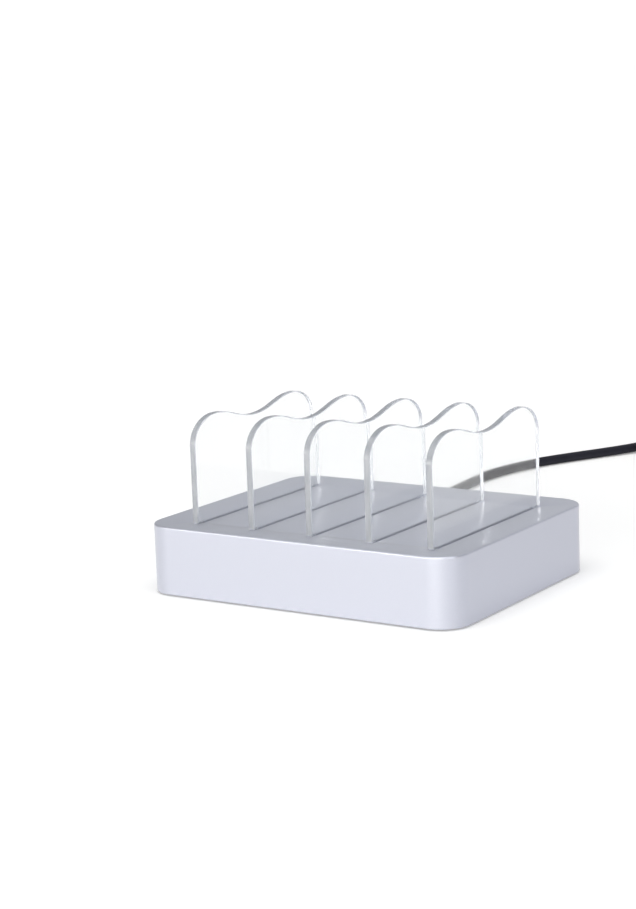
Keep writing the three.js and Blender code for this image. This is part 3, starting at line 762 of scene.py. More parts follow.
def worked(tree, operation, *terms):
    """The outcome of a piece of arithmetic on numbers and sockets, as a socket."""
    node = tree.nodes.new("ShaderNodeMath")
    node.operation = operation
    for socket, term in zip(node.inputs, terms):
        if isinstance(term, (int, float)):
            socket.default_value = term
        else:
            tree.links.new(term, socket)
    return node.outputs[0]


def tent_glow(tree, ahead, upward):
    """How bright the tent is in a direction. It glows most low in front: the cube of the
    direction's forward share times the square of how far it stays within GLOW_TOP of level.
    It glows a little from behind, with the square of the backward share."""
    level = worked(tree, "DIVIDE", worked(tree, "ABSOLUTE", upward, 0), GLOW_TOP)
    level = worked(tree, "MAXIMUM", worked(tree, "SUBTRACT", 1, level), 0)
    low_front = worked(tree, "MULTIPLY", worked(tree, "POWER", ahead[1], 3),
                       worked(tree, "POWER", level, 2))
    front = worked(tree, "MULTIPLY", low_front, FRONT_GLOW)
    back = worked(tree, "MULTIPLY", worked(tree, "POWER", ahead[0], 2), BACK_GLOW)
    return worked(tree, "ADD", worked(tree, "ADD", back, front), SIDE_GLOW)


def set_light():
    """A white backdrop for the camera, and a light tent for the object. An overhead lamp keeps
    the floor white, and a strip stands on the right."""
    world = bpy.data.worlds.new("studio")
    world.use_nodes = True
    bpy.context.scene.world = world
    tree = world.node_tree
    direction = add_node(tree, "TexCoord").outputs["Generated"]
    split = add_node(tree, "SeparateXYZ", feeds={"Vector": direction})
    backward = worked(tree, "MAXIMUM", split.outputs["Y"], 0)
    forward = worked(tree, "MAXIMUM", worked(tree, "MULTIPLY", split.outputs["Y"], -1), 0)
    hue = tree.nodes.new("ShaderNodeMix")
    hue.data_type = "RGBA"
    hue.inputs["A"].default_value = COOL_WHITE
    hue.inputs["B"].default_value = WARM_WHITE
    tree.links.new(forward, hue.inputs["Factor"])
    tent = tree.nodes["Background"]
    glow = tent_glow(tree, (backward, forward), split.outputs["Z"])
    tree.links.new(glow, tent.inputs["Strength"])
    tree.links.new(hue.outputs["Result"], tent.inputs["Color"])
    white = {"Color": (1, 1, 1, 1), "Strength": BACKDROP_GLOW}
    backdrop = add_node(tree, "Background", white).outputs["Background"]
    seen = add_node(tree, "LightPath").outputs["Is Camera Ray"]
    mix = add_node(tree, "MixShader", feeds={
        "Fac": seen, 1: tent.outputs["Background"], 2: backdrop,
    })
    tree.links.new(mix.outputs["Shader"], tree.nodes["World Output"].inputs["Surface"])
    add_overhead()
    add_strip()
    bpy.context.scene.view_settings.view_transform = "Standard"


set_camera()
set_floor()
set_light()


# ---- Mains lead -----------------------------------------------------------------------------

def through_points(points):
    """A smooth curve through given points: cubic spans whose knots are spaced by the square
    root of the distance between neighbours."""
    padded = np.vstack([2 * points[0] - points[1], points, 2 * points[-1] - points[-2]])
    p0, p1, p2, p3 = padded[:-3], padded[1:-2], padded[2:-1], padded[3:]
    gap = np.sqrt(np.linalg.norm(np.diff(padded, axis=0), axis=1))[:, None]
    d0, d1, d2 = gap[:-2], gap[1:-1], gap[2:]
    start = ((p1 - p0) / d0 - (p2 - p0) / (d0 + d1) + (p2 - p1) / d1) * d1
    end = ((p2 - p1) / d1 - (p3 - p1) / (d1 + d2) + (p3 - p2) / d2) * d1
    t = np.linspace(0, 1, 12, endpoint=False)[None, :, None]
    p1, p2, start, end = (a[:, None, :] for a in (p1, p2, start, end))
    curve = ((2 * t ** 3 - 3 * t ** 2 + 1) * p1 + (t ** 3 - 2 * t ** 2 + t) * start
             + (3 * t ** 2 - 2 * t ** 3) * p2 + (t ** 3 - t ** 2) * end)
    return np.vstack([curve.reshape(-1, 3), points[-1:]])


def coil_path():
    """The turns, clockwise from above. The angle falls steadily while the radius steps in by one
    diameter a turn for three turns, the cord climbs on top, and then it steps out again."""
    across = 2 * CORD_RADIUS
    sweep = np.append(np.arange(0, COIL_SWEEP, 5.0), COIL_SWEEP)
    radius = (COIL_TURN_RADIUS + across
              - across * smooth(sweep, 285, 360) - across * smooth(sweep, 645, 720)
              + across / 2 * smooth(sweep, 1030, 1090) + across * smooth(sweep, 1155, 1230))
    angle = COIL_ENTRY - np.radians(sweep)
    height = COIL_FLOOR_Z + COIL_LAYER_RISE * smooth(sweep, 985, 1045)
    return np.column_stack([
        COIL_CENTRE[0] + radius * np.cos(angle), COIL_CENTRE[1] + radius * np.sin(angle), height,
    ])


def plug_place():
    """Where the plug's strain relief starts: straight on from the last turn, just clear of the
    coil's outer edge."""
    last_turn = COIL_TURN_RADIUS + CORD_RADIUS
    edge = COIL_TURN_RADIUS + 2.6 * CORD_RADIUS + FIT
    run_out = math.sqrt(edge ** 2 - (last_turn - RELIEF_TIP) ** 2) + FIT
    c, s = math.cos(PLUG_HEADING), math.sin(PLUG_HEADING)
    return np.array([
        COIL_CENTRE[0] - last_turn * s + run_out * c,
        COIL_CENTRE[1] + last_turn * c + run_out * s,
        PLUG_BODY[1] / 2,
    ])


def lead_path():
    """The whole centreline, from inside the connector's relief to inside the plug's."""
    start = CORD_ROUTE[0] - (0, LEAD_TUCK, 0)
    turns = coil_path()
    straight = np.linspace(CORD_ROUTE[-1], turns[0], 8, endpoint=False)[1:]
    place = plug_place()
    heading = np.array([math.cos(PLUG_HEADING), math.sin(PLUG_HEADING), 0])
    t = np.linspace(0, 1, 12)[1:, None]
    run = turns[-1] + (place + LEAD_TUCK * heading - turns[-1]) * t
    run[:, 2] = turns[-1][2] + (place[2] - turns[-1][2]) * smooth(t[:, 0], 0, 0.85)
    return np.vstack([start[None], through_points(CORD_ROUTE), straight, turns, run])


def tube_rows(path, radius):
    """Circles square to a path, each set by a side vector that is carried along without twist:
    here the level direction across the path, as the cord never stands upright. The points are
    half a step round, so that turns lying side by side share no point."""
    ahead = np.gradient(path, axis=0)
    ahead /= np.linalg.norm(ahead, axis=1, keepdims=True)
    side = np.cross(ahead, [0, 0, 1])
    side /= np.linalg.norm(side, axis=1, keepdims=True)
    up = np.cross(side, ahead)
    ring = circle(1, 48)[1::2]
    offsets = ring[None, :, 0, None] * side[:, None] + ring[None, :, 1, None] * up[:, None]
    return path[:, None] + radius * offsets


def relief_rows(start, angle):
    """A tapered strain relief along Y: a cone cut by short slots, on its sides and on its top
    and bottom in turn, with a lip at its tip."""
    along = np.linspace(0, 1, 56)[:, None]
    taper = RELIEF_ROOT + (RELIEF_TIP - RELIEF_ROOT) * along
    phase = along * RELIEF_SLOTS
    in_slot = smooth(np.cos(2 * np.pi * (phase - 0.5)), 0.15, 0.55) * smooth(along, 0.04, 0.08)
    in_slot = in_slot * (1 - smooth(along, 0.9, 0.94))
    on_sides = np.floor(phase) % 2 > 0.5
    facing = np.where(on_sides, np.abs(np.cos(angle)), np.abs(np.sin(angle)))
    radius = taper - 1.1 * MM * in_slot * smooth(facing, 0.42, 0.6) * (0.4 + 0.6 * (1 - along))
    radius = radius + 0.5 * MM * smooth(along, 0.93, 0.95) * (1 - smooth(along, 0.985, 1.0))
    y = np.broadcast_to(start + RELIEF_LENGTH * along, radius.shape)
    return np.stack([radius * np.cos(angle), y, radius * np.sin(angle)], axis=-1)


def cord_exit(y, steps, angle):
    """Loops at the tip of a relief, where it closes on the cord."""
    return np.stack([square_to_y(with_rays(CORD_RADIUS + step, angle), y) for step in steps])


def rounded_off(distance, ease):
    """How far a rounded end is drawn in at a distance from it."""
    return ease - np.sqrt(np.maximum(ease ** 2 - (ease - np.minimum(distance, ease)) ** 2, 0))


def narrowed(outline, depth, angle, low, high):
    """The outline with its two sides drawn in by a depth, fading out towards top and bottom."""
    inwards = np.sign(outline[:, 0]) * depth * smooth(np.abs(np.cos(angle)), low, high)
    return outline - np.column_stack([inwards, np.zeros(len(angle))])


def connector_form():
    """The detachable connector, as loops along Y: figure-of-eight nose, a grip with pinched
    and ribbed sides, round shoulders, and the strain relief."""
    angle = ray_angles()
    width, height, length = CONNECTOR_GRIP
    nose_y = corners_of("lead_connector")[0][1]
    front = BACK_Y + FIT
    nose = stacked(
        lambda inset: ray_figure_eight(CONNECTOR_LOBE_RADIUS - inset, INLET_LOBE_SPACING, angle),
        eased_ends(nose_y, front + 0.2 * MM, 0.5 * MM, 0.0)[:-1], "y",
    )
    along = np.linspace(0, 1, 60)
    shoulder = 2.2 * MM * smooth(along, 0.8, 1.0) ** 2
    drawn = rounded_off(along * length, 0.9 * MM) + shoulder
    pinch = 0.7 * MM * np.sin(np.pi * np.clip(along * 1.1, 0, 1)) ** 2
    ribs = 0.3 * MM * (0.5 - 0.5 * np.cos(2 * np.pi * along * 11)) * smooth(along, 0.2, 0.24)
    depths = pinch + ribs * (1 - smooth(along, 0.7, 0.74))
    grip = []
    for y, inset, depth in zip(front + along * length, drawn, depths):
        outline = ray_rectangle(width - 2 * inset, height - 2 * inset, 3.2 * MM - 0.4 * inset,
                                angle)
        grip.append(square_to_y(narrowed(outline, depth, angle, 0.8, 0.95), y))
    cone = relief_rows(front + length, angle)
    tip = cord_exit(front + length + RELIEF_LENGTH, (0.45 * MM, 0.05 * MM), angle)
    form = loft(np.concatenate([nose, np.stack(grip), cone, tip]))
    bores = [rod(CONNECTOR_BORE_RADIUS, (nose_y - 1 * MM, nose_y + CONNECTOR_BORE_DEPTH),
                 (side * INLET_PIN_SPACING / 2, 0), "y", 24) for side in (-1, 1)]
    x, z = middle_of("lead_connector", "y")
    return moved(carved(form, cut=bores), (x, 0, z))


def plug_form():
    """The flat two-pin plug drawn with its cord along Y: strain relief, then a body with soft
    edges and grooved sides that is drawn in towards the relief."""
    angle = ray_angles()
    width, height, length = PLUG_BODY
    cone = relief_rows(0, angle)
    cone[..., 1] = RELIEF_LENGTH - cone[..., 1]
    lead_in = cord_exit(0, (0.05 * MM, 0.45 * MM), angle)
    along = np.linspace(0, 1, 48)
    place = along * length
    aft = rounded_off((1 - along) * length, 1.6 * MM)
    taper = 5.2 * MM * (1 - smooth(along, 0.0, 0.55)) ** 2
    groove = 0.35 * MM * (0.5 - 0.5 * np.cos(2 * np.pi * place / (2.4 * MM)))
    groove = groove * smooth(place, 11 * MM, 12 * MM) * (1 - smooth(place, 21 * MM, 22 * MM))
    body = []
    for y, inset, narrow, depth in zip(RELIEF_LENGTH + place, aft, taper, groove):
        outline = ray_rectangle(width - 2 * inset - 2 * narrow, height - 2 * inset - narrow,
                                5 * MM - 0.4 * inset, angle)
        body.append(square_to_y(narrowed(outline, depth, angle, 0.86, 0.93), y))
    return loft(np.concatenate([lead_in, cone[::-1], np.stack(body)]))


def pin_forms(side):
    """One plug pin along Y: an insulating sleeve at its root, and a bare tip with a round end."""
    front = RELIEF_LENGTH + PLUG_BODY[2]
    centre = (side * PLUG_PIN_SPACING / 2, 0)
    sleeve = np.array([(1.85, 0), (1.85, 15.6), (1.8, 15.9), (1.6, 16.0)]) * MM
    bare_from = front + 10 * MM
    tip = np.vstack([
        [PLUG_PIN_RADIUS - 0.2 * MM, bare_from - 0.1 * MM],
        [PLUG_PIN_RADIUS, bare_from + 0.1 * MM],
        dome(PLUG_PIN_RADIUS, front + PLUG_PIN_LENGTH, 0.15, 7),
    ])
    return spun(sleeve + (0, front - 6 * MM), centre, "y", 32), spun(tip, centre, "y", 32)


def tie_form():
    """A strap stretched round the strands: for each direction round the bundle, the strand that
    reaches furthest, plus its radius. The closed band is then carried across the strap's
    width."""
    low, high = corners_of("coil_tie")
    y = COIL_CENTRE[1] - COIL_TURN_RADIUS
    across = 2 * CORD_RADIUS
    strands = np.array([
        (y - across, COIL_FLOOR_Z), (y, COIL_FLOOR_Z), (y + across, COIL_FLOOR_Z),
        (y - CORD_RADIUS, COIL_FLOOR_Z + COIL_LAYER_RISE),
    ])
    angle = ray_angles(160)
    ahead = with_rays(1, angle)
    furthest = strands[np.argmax(ahead @ strands.T, axis=1)]
    inner, outer = CORD_RADIUS + 0.08 * MM, CORD_RADIUS + 0.7 * MM
    half = (high[0] - low[0]) / 2
    soft = 0.2 * MM
    section = [
        (inner, -half + soft), (inner, half - soft), (inner + soft, half), (outer - soft, half),
        (outer, half - soft), (outer, soft - half), (outer - soft, -half), (inner + soft, -half),
    ]
    rows = np.stack([
        np.column_stack([np.full(len(angle), COIL_CENTRE[0] + x), furthest + reach * ahead])
        for reach, x in section
    ])
    return loft(rows, ring=True)


def add_lead():
    """Cord, connector, plug, pins and tie. All of them ride on the lead."""
    place = plug_place()
    heading = PLUG_HEADING - math.pi / 2
    parts = [
        ("lead_connector_moulding", connector_form(), VINYL, "lead_pvc", ["lead_connector"]),
        ("plug_moulding", turned(plug_form(), heading, place), VINYL, "lead_pvc", ["plug_body"]),
    ]
    for index, side in enumerate((-1, 1), 1):
        sleeve, tip = (turned(form, heading, place) for form in pin_forms(side))
        parts += [
            (f"plug_pin_tip_{index}", tip, NICKEL, "contact_brass", [f"plug_pin_{index}"]),
            (f"plug_pin_sleeve_{index}", sleeve, BLACK, "dark_plastic", []),
        ]
    parts.append(("coil_strap", tie_form(), STRAP, "foot_rubber", ["coil_tie"]))
    pieces = [add_piece(*looks, "mains_lead", replaced) for *looks, replaced in parts]
    path = lead_path()
    cord = add_piece("mains_cord", loft(tube_rows(path, CORD_RADIUS)), VINYL, "lead_pvc",
                     "mains_lead", ["lead_cord", "lead_coil"])


add_lead()


# ---- Casing ---------------------------------------------------------------------------------

def casing_form():
    """The shell: one round-cornered outline carried from the ceiling's edge down the inside,
    round the lower rim, up the outside and over the rounded top edge. Sleeves and screw posts
    are joined below the top, and pockets, bores and openings are cut."""
    floor, top = shell_low[2], shell_high[2]
    inner_ease = 1.0 * MM
    turn = np.linspace(0, QUARTER, 5)
    profile = np.vstack([
        [WALL + inner_ease + GUARD, CEILING_Z],
        np.column_stack([WALL + inner_ease * (1 - np.sin(turn)),
                         CEILING_Z - inner_ease * (1 - np.cos(turn))]),
        [(WALL, floor + GUARD), (WALL - 0.1 * MM, floor)],
        eased_ends(floor, top, LOWER_EDGE_RADIUS, TOP_EDGE_RADIUS, 6),
    ])
    dividers = range(1, DIVIDER_COUNT + 1)
    bore_span = cover_high[2] + np.array([-1 * MM, COVER_SCREW_REACH])
    joined = [screw_post(place) for place in screw_places()]
    joined += [pocket_block(number) for number in dividers]
    cut = [pocket_cutter(number) for number in dividers]
    cut += [rod(SHANK_RADIUS + FIT, bore_span, place, count=24) for place in screw_places()]
    cut += [back_opening(f"usb_socket_shell_{n}", 0.6 * MM) for n in range(1, OUTLET_COUNT + 1)]
    cut += [back_opening("inlet_housing", 0.8 * MM), switch_opening()]
    return carved(block(BASE_SIZE, CORNER_RADIUS, profile, steps=24), joined, cut)


def screw_places():
    """The four screws that hold the cover, one near each corner."""
    reach = BASE_SIZE[:2] / 2 - BOSS_INSET
    return [(sx * reach[0], sy * reach[1]) for sx, sy in ((-1, -1), (1, -1), (1, 1), (-1, 1))]


def screw_post(place):
    """A post from the ceiling down to the cover, with a flared root."""
    rise = np.linspace(0, 1, 6)
    root = np.column_stack([
        BOSS_RADIUS + 0.8 * MM * rise ** 2, CEILING_Z - 1 * MM + 1.5 * MM * rise,
    ])
    return spun(np.vstack([[BOSS_RADIUS, cover_high[2]], root]), place, count=40)


def pocket_size(number):
    """A divider's thickness and its tab's length, with their fit."""
    low, high = corners_of(f"divider_{number}")
    return (high - low)[:2] - (0, 2 * TAB_SHOULDER) + 2 * FIT


def pocket_floor(number):
    """How deep a divider's pocket goes."""
    return corners_of(f"divider_{number}")[0][2] - POCKET_SPARE


def pocket_block(number):
    """The sleeve round a divider's pocket, under the top."""
    span = (pocket_floor(number) - SLEEVE_WALL, TOP_Z - TOP_THICKNESS / 2)
    return bar("z", pocket_size(number) + 2 * SLEEVE_WALL, 0.5 * MM, span,
               middle_of(f"divider_{number}"), (0.3 * MM, 0))


def pocket_cutter(number):
    """The pocket itself. Its mouth is flared by a small round, so the top has a soft lip."""
    profile = flared_mouth(pocket_floor(number), TOP_Z, 0.12 * MM, 4)
    return block(pocket_size(number), 0.3 * MM, profile, middle_of(f"divider_{number}"), steps=5)


def mouth_cutter(size, corner, centre):
    """A cutter through the back wall, flared outwards by a small round."""
    profile = flared_mouth(BACK_Y - WALL - 1.5 * MM, BACK_Y, MOUTH_EASE, 5)
    return block(size, corner, profile, centre, "y", 6)


def back_opening(node, corner):
    """The opening in the back wall round a node, with its fit."""
    low, high = corners_of(node)
    return mouth_cutter((high - low)[[0, 2]] + 2 * FIT, corner, middle_of(node, "y"))


def switch_opening():
    """The opening behind the switch frame's flange."""
    return mouth_cutter(np.array(SWITCH_BODY[:2]) + 2 * FIT, 0.5 * MM,
                        middle_of("switch_frame", "y"))


def cover_form():
    """The bottom cover: a round-cornered plate with countersunk screw holes, and a drilled post
    under each of the board's screws."""
    floor, plate_top = cover_low[2], cover_low[2] + COVER_THICKNESS
    board_under = corners_of("main_board")[0][2]
    plate = block(cover_high - cover_low, CORNER_RADIUS - WALL - FIT,
                  eased_ends(floor, plate_top, 0.4 * MM, 0.2 * MM, 4), steps=16)
    sink = np.array([(3.4, -1), (3.4, 0.1), (3.2, 0.3), (3.2, 1.25)]) * MM + (0, floor)
    hole_span = (floor + 0.5 * MM, plate_top + 1 * MM)
    holes = []
    for place in screw_places():
        holes += [spun(sink, place, count=40), rod(1.6 * MM, hole_span, place, count=28)]
    post = ((3.2 * MM, plate_top - 1 * MM), (3.2 * MM, board_under - 0.2 * MM),
            (3.0 * MM, board_under))
    bore_span = (plate_top + 0.5 * MM, board_under + 1 * MM)
    centres = [middle_of(f"board_screw_{n}") for n in range(1, 5)]
    posts = [spun(post, centre, count=36) for centre in centres]
    bores = [rod(1.6 * MM, bore_span, centre, count=24) for centre in centres]
    return carved(plate, posts, holes + bores)


def foot_form(number):
    """A moulded foot: soft lower edge and a shallow dish underneath."""
    node = f"rubber_foot_{number}"
    low, high = corners_of(node)
    width, _, height = (high - low) / MM
    edge = width / 2
    profile = np.array([
        (0.4, 0.25), (edge - 2.6, 0.25), (edge - 2.2, 0.12), (edge - 1.7, 0.02),
        (edge - 1.2, 0), (edge - 0.55, 0), (edge - 0.25, 0.07), (edge - 0.07, 0.25),
        (edge, 0.5), (edge, height),
    ]) * MM + (0, low[2])
    return spun(profile, middle_of(node), count=64)


def screw_form(node, head_up):
    """A cross-head screw. The head is a low dome on a grid of radius and angle, pressed in
    where a point lies within the arms of the cross; the shank has rounded thread rings."""
    low, high = corners_of(node)
    head_radius, length = (high[0] - low[0]) / 2, high[2] - low[2]
    count = 72
    angle = np.arange(count) * 2 * np.pi / count
    reach = np.linspace(0.02, 1, 22)[:, None]
    x, y = head_radius * reach * np.cos(angle), head_radius * reach * np.sin(angle)
    arm = np.minimum(np.abs(x), np.abs(y))
    in_cross = 1 - smooth(arm, 0.22 * MM, 0.36 * MM)
    in_cross = in_cross * (1 - smooth(np.hypot(x, y), 1.3 * MM, 1.7 * MM))
    rise = HEAD_RISE * (1 - reach ** 2) - CROSS_DEPTH * in_cross - HEAD_RISE
    along = np.linspace(1.2 * MM, length - 0.4 * MM, 90)
    thread = SHANK_RADIUS - THREAD_DEPTH * (0.5 - 0.5 * np.cos(2 * np.pi * along / THREAD_PITCH))
    body = stacked(lambda radius: with_rays(radius, angle), [
        (head_radius, -1.0 * MM), (head_radius - 0.15 * MM, -1.2 * MM),
        *zip(thread, -along), (0.3 * MM, -length),
    ])
    points, faces = loft(np.concatenate([np.stack([x, y, rise], axis=-1), body]))
    if head_up:
        return moved((points, faces), (*middle_of(node), high[2]))
    return moved((points * (1, -1, -1), faces), (*middle_of(node), low[2]))


def add_casing():
    """Shell, cover, feet and screws."""
    parts = [("casing_shell", casing_form(), SILVER, "silver_shell", "upper_shell"),
             ("underside_cover", cover_form(), COVER_GREY, "cover_plastic", "bottom_cover")]
    for n in range(1, FOOT_COUNT + 1):
        foot, cover_screw, board_screw = f"rubber_foot_{n}", f"cover_screw_{n}", f"board_screw_{n}"
        parts += [
            (f"moulded_foot_{n}", foot_form(n), RUBBER, "foot_rubber", foot),
            (f"cross_head_screw_{n}", screw_form(cover_screw, False), STEEL, "plated_steel",
             cover_screw),
            (f"board_fixing_{n}", screw_form(board_screw, True), STEEL, "plated_steel",
             board_screw),
        ]
    for *looks, node in parts:
        add_piece(*looks, stands_for=[node])


add_casing()


# ---- Clear dividers -------------------------------------------------------------------------

def divider_outline(half, height, tab):
    """Seen from the side, counted from the top of the base: a tab with square shoulders, an
    elliptical quarter up each corner, and a smooth wave down to the valley in the middle."""
    base = height - SHOULDER_DROP
    hump = half - HUMP_INSET
    valley = height - VALLEY_DROP
    bend = 0.5523
    wave = hump * 0.42
    tab_half = half - TAB_SHOULDER
    rise = (half, base + SHOULDER_DROP * bend)
    crest = (hump + HUMP_INSET * bend, height)
    right = np.vstack([
        [(0, -tab), (tab_half - 0.3 * MM, -tab), (tab_half, 0.3 * MM - tab), (tab_half, -0.2 * MM),
         (tab_half, 0), (tab_half + 0.2 * MM, 0), (half - 0.2 * MM, 0), (half, 0.2 * MM)],
        bezier((half, base), rise, crest, (hump, height), 28),
        bezier((hump, height), (hump - wave, height), (wave, valley), (0, valley), 36),
    ])
    left = right[:0:-1] * (-1, 1)
    return np.vstack([right, [(0, valley)], left])


def divider_form(number):
    """The outline carried through the sheet's thickness, with rounded polished edges."""
    low, high = corners_of(f"divider_{number}")
    outline = divider_outline((high[1] - low[1]) / 2, high[2] - TOP_Z, TOP_Z - low[2])
    profile = eased_ends(low[0], high[0], POLISH, POLISH, 4)
    rows = stacked(lambda inset: drawn_in(outline, inset), profile, "x")
    return moved(loft(rows), (0, (low[1] + high[1]) / 2, TOP_Z))


def add_dividers():
    """Five plates. The faces of the sheet are clear, and the edges are painted milky: painted
    light for the light the sheet carries out through them.
    """
    for n in range(1, DIVIDER_COUNT + 1):
        form = divider_form(n)
        piece = add_piece(f"clear_divider_{n}", form, CLEAR, "clear_acrylic",
                          f"divider_plate_{n}", [f"divider_{n}"])
        # The edges take the painted milky glow that stands in for light carried along the sheet
        piece.data.materials.append(EDGE_PAINTED_GLOW)
        is_edge = np.ones(len(form[1]), np.int32)
        is_edge[-2:] = 0
        piece.data.polygons.foreach_set("material_index", is_edge)


add_dividers()


# ---- Charging outlets -----------------------------------------------------------------------

def outlet_shell_form(number):
    """A folded metal shell: a closed strip profile, with its mouth rolled slightly outwards,
    carried round a rounded rectangle."""
    node = f"usb_socket_shell_{number}"
    low, high = corners_of(node)
    back, front = low[1], high[1]
    t = OUTLET_METAL
    profile = [
        (0, back), (0, front - 0.8 * MM), (-0.05 * MM, front - 0.4 * MM),
        (-0.12 * MM, front - 0.1 * MM), (-0.1 * MM, front), (0.05 * MM, front),
        (t - 0.1 * MM, front - 0.25 * MM), (t, front - 0.8 * MM), (t, back),
    ]
    return block((high - low)[[0, 2]], 0.7 * MM, profile, middle_of(node, "y"), "y", 5, ring=True)


def contact_block_form(number):
    """The insulating block at the back of an outlet, and the tongue that reaches forwards."""
    node = f"usb_contact_block_{number}"
    low, high = corners_of(node)
    x, z = middle_of(node, "y")
    rear = bar("y", (high - low)[[0, 2]], 0.4 * MM, (low[1], low[1] + 3 * MM), (x, z),
               (0.1 * MM, 0.15 * MM), 3)
    tongue = bar("y", TONGUE, 0.25 * MM, (low[1] + 2.5 * MM, high[1]),
                 (x, z + TONGUE_LIFT + TONGUE[1] / 2), (0, 0.4 * MM), 3)
    return carved(rear, [tongue])


def contact_strip_forms(number):
    """Four springy contacts under the tongue, each a thin strip with a raised bow."""
    node = f"usb_contact_block_{number}"
    low, high = corners_of(node)
    centre_x, centre_z = middle_of(node, "y")
    along = np.linspace(0, 1, 20)
    y = low[1] + 3.2 * MM + along * (high[1] - low[1] - 4.2 * MM)
    z = centre_z + TONGUE_LIFT - 0.3 * MM * np.sin(np.pi * along) ** 2
    corners = np.array([(-0.5, 0.1), (0.5, 0.1), (0.5, -0.08), (-0.5, -0.08)]) * MM
    return together(*(loft(np.stack([
        np.column_stack([np.full(len(y), centre_x + place + dx), y, z + dz]) for dx, dz in corners
    ], axis=1)) for place in CONTACT_PLACES))


def add_outlets():
    """Four outlets in a row: shell, block with tongue, and contacts."""
    for n in range(1, OUTLET_COUNT + 1):
        add_piece(f"outlet_metal_shell_{n}", outlet_shell_form(n), STEEL, "plated_steel",
                  stands_for=[f"usb_socket_shell_{n}"])
        add_piece(f"outlet_tongue_{n}", contact_block_form(n), BLACK, "dark_plastic",
                  stands_for=[f"usb_contact_block_{n}"])
        add_piece(f"outlet_contacts_{n}", contact_strip_forms(n), BRASS, "contact_brass")


add_outlets()


# ---- Mains inlet and switch -----------------------------------------------------------------

def inlet_form():
    """The inlet's housing: from its back, up the outside, over an eased front edge, across the
    face to the figure-of-eight mouth and down the recess."""
    low, high = corners_of("inlet_housing")
    width, height = (high - low)[[0, 2]]
    angle = ray_angles(120)
    outside = stacked(
        lambda inset: ray_rectangle(width - 2 * inset, height - 2 * inset, 1.0 * MM, angle),
        eased_ends(low[1], high[1], 0.3 * MM, 0.4 * MM, 4), "y",
    )
    mouth = [(-0.5, 0), (-0.3, -0.08), (-0.12, -0.25), (0, -0.6), (0, -INLET_RECESS / MM)]
    inside = stacked(
        lambda inset: ray_figure_eight(INLET_LOBE_RADIUS - inset, INLET_LOBE_SPACING, angle),
        np.array(mouth) * MM + (0, high[1]), "y",
    )
    x, z = middle_of("inlet_housing", "y")
    return moved(loft(np.concatenate([outside, inside])), (x, 0, z))


def inlet_pin_form(number):
    """A round contact pin with a domed end."""
    node = f"inlet_pin_{number}"
    low, high = corners_of(node)
    radius = (high[0] - low[0]) / 2
    profile = np.vstack([[radius, low[1]], dome(radius, high[1], 0.1, 8)])
    return spun(profile, middle_of(node, "y"), "y", 28)


def switch_frame_form():
    """The switch's frame: body, flange with a soft edge, and a window with eased sides that the
    rocker sits in. Two blade tabs stand at the back."""
    low, high = corners_of("switch_frame")
    centre = middle_of("switch_frame", "y")
    front, body_back = high[1], BACK_Y - SWITCH_BODY[2]
    flange = bar("y", (high - low)[[0, 2]], 1.2 * MM, (BACK_Y, front), centre, (0, 0.35 * MM), 5)
    body = bar("y", SWITCH_BODY[:2], 0.5 * MM, (body_back, BACK_Y + 0.2 * MM), centre,
               (0.4 * MM, 0), 4)
    reach = math.hypot(ROCKER_HALF_LENGTH,
                       ROCKER_FACE_HEIGHT + ROCKER_HALF_LENGTH * math.tan(ROCKER_TILT))
    profile = flared_mouth(front - 2 * ROCKER_PIVOT_DEPTH - 1 * MM, front, 0.2 * MM, 4)
    window = block((2 * reach, ROCKER_HEIGHT + 2 * FIT), 0.4 * MM, profile, centre, "y", 4)
    tabs = [bar("y", SWITCH_TAB, 0.1 * MM, (low[1], body_back + 1 * MM),
                centre + (side * SWITCH_TAB_PLACE, 0), (0.3 * MM, 0), 3) for side in (-1, 1)]
    return carved(flange, [body, *tabs], [window])


def rocker_face(x):
    """Height of the rocker's face over its pivot: two slopes that meet in a shallow V, each
    slightly hollow."""
    share = np.abs(x) / ROCKER_HALF_LENGTH
    return (ROCKER_FACE_HEIGHT + np.abs(x) * math.tan(ROCKER_TILT)
            - ROCKER_SAG * np.sin(np.pi * np.clip(share, 0, 1)))


def rocker_form():
    """The rocker seen from above: a narrow back, flared sides and the two hollow faces, carried
    up its height with eased edges."""
    face_x = np.linspace(ROCKER_HALF_LENGTH - 0.15 * MM, 0.15 * MM - ROCKER_HALF_LENGTH, 41)
    face = np.column_stack([face_x, rocker_face(face_x)])
    back = 0.5 * ROCKER_HALF_LENGTH
    outline = np.vstack([
        [(-back, -ROCKER_FACE_HEIGHT), (0, -ROCKER_FACE_HEIGHT), (back, -ROCKER_FACE_HEIGHT),
         (ROCKER_HALF_LENGTH - 0.6 * MM, 1 * MM),
         (ROCKER_HALF_LENGTH, rocker_face(ROCKER_HALF_LENGTH) - 0.3 * MM)],
        face,
        [(-ROCKER_HALF_LENGTH, rocker_face(ROCKER_HALF_LENGTH) - 0.3 * MM),
         (0.6 * MM - ROCKER_HALF_LENGTH, 1 * MM)],
    ])
    half = ROCKER_HEIGHT / 2
    rows = stacked(lambda inset: drawn_in(outline, inset),
                   eased_ends(-half, half, 0.35 * MM, 0.35 * MM, 4))
    axle = spun(((0.9 * MM, -half - 1 * MM), (1.0 * MM, 0.1 * MM - half - 0.9 * MM),
                 (1.0 * MM, half + 0.8 * MM), (0.9 * MM, half + 1 * MM)), (0, 0), count=24)
    return carved(loft(rows), [axle])


def mark_bar():
    """The stroke of the on side: a narrow round-ended bar just proud of the face."""
    outline = round_rectangle(0.45 * MM, 2.9 * MM, 0.2 * MM, 5) + (-MARK_PLACE, 0)
    return loft(np.stack([printed(outline, lift) for lift in (PRINT_ROOT, PRINT_LIFT)]))


def printed(outline, lift):
    """An outline laid on the rocker's face, a little above or below it."""
    return np.column_stack([outline[:, 0], rocker_face(outline[:, 0]) + lift, outline[:, 1]])


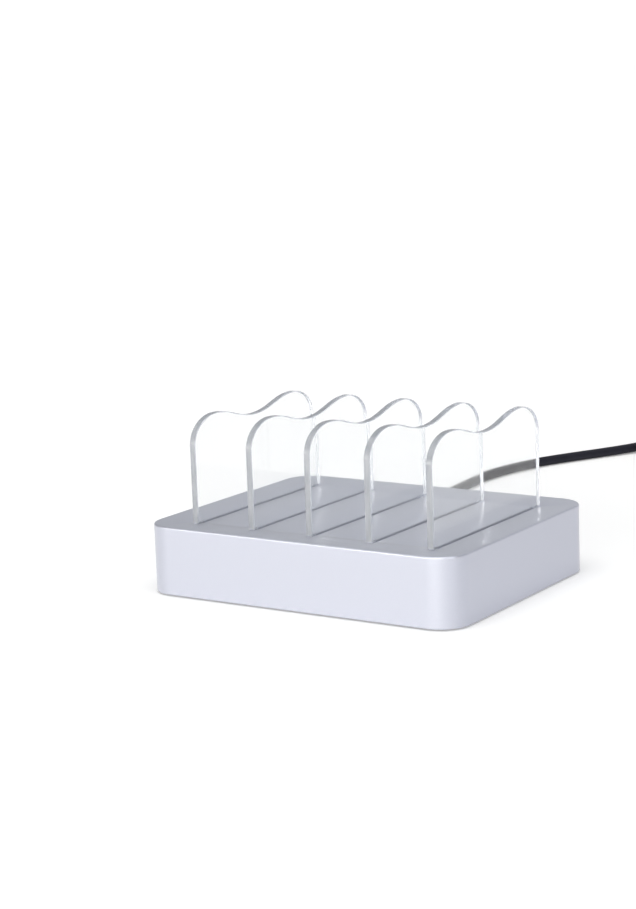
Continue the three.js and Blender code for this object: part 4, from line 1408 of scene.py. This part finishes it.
def mark_ring():
    """The ring of the off side, just proud of the face."""
    section = ((1.45, PRINT_ROOT), (1.45, PRINT_LIFT), (1.0, PRINT_LIFT), (1.0, PRINT_ROOT))
    rows = [printed(circle(radius * MM, 40) + (MARK_PLACE, 0), lift) for radius, lift in section]
    return loft(np.stack(rows), ring=True)


def add_inlet_and_switch():
    """Inlet with its pins, the switch's frame, and the rocker with its two printed marks."""
    add_piece("inlet_moulding", inlet_form(), BLACK, "dark_plastic", stands_for=["inlet_housing"])
    for n in (1, 2):
        add_piece(f"inlet_contact_{n}", inlet_pin_form(n), NICKEL, "contact_brass",
                  stands_for=[f"inlet_pin_{n}"])
    add_piece("switch_surround", switch_frame_form(), BLACK, "dark_plastic",
              stands_for=["switch_frame"])
    x, z = middle_of("switch_frame", "y")
    pivot = (x, corners_of("switch_frame")[1][1] - ROCKER_PIVOT_DEPTH, z)
    for name, form, material, replaced in (
        ("rocker_paddle", rocker_form(), ROCKER_BLACK, ["switch_rocker"]),
        ("rocker_mark_on", mark_bar(), WHITE_INK, []),
        ("rocker_mark_off", mark_ring(), WHITE_INK, []),
    ):
        add_piece(name, turned(form, -ROCKER_TILT, pivot), material, "rocker_plastic", "rocker",
                  replaced)


add_inlet_and_switch()


# ---- Circuit board and what stands on it ----------------------------------------------------

INSIDE_FINISHES = {
    "switch_wire_1": BLACK, "switch_wire_2": BLACK, "main_board": LAMINATE, "line_fuse": BLACK,
    "line_filter_capacitor": TAPE, "line_filter_choke": COPPER, "bridge_rectifier": BLACK,
    "bulk_capacitor": SLEEVE, "primary_heat_sink": ALUMINIUM, "primary_transistor": BLACK,
    "output_heat_sink": ALUMINIUM, "output_rectifier": BLACK, "transformer_core": FERRITE,
    "transformer_winding": TAPE, "output_capacitor_1": SLEEVE, "output_capacitor_2": SLEEVE,
    "output_capacitor_3": SLEEVE, "opto_coupler": BLACK,
}


def finish_inside():
    """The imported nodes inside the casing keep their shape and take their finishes."""
    for node, material in INSIDE_FINISHES.items():
        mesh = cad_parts[node].data
        mesh.materials.clear()
        mesh.materials.append(material)


finish_inside()
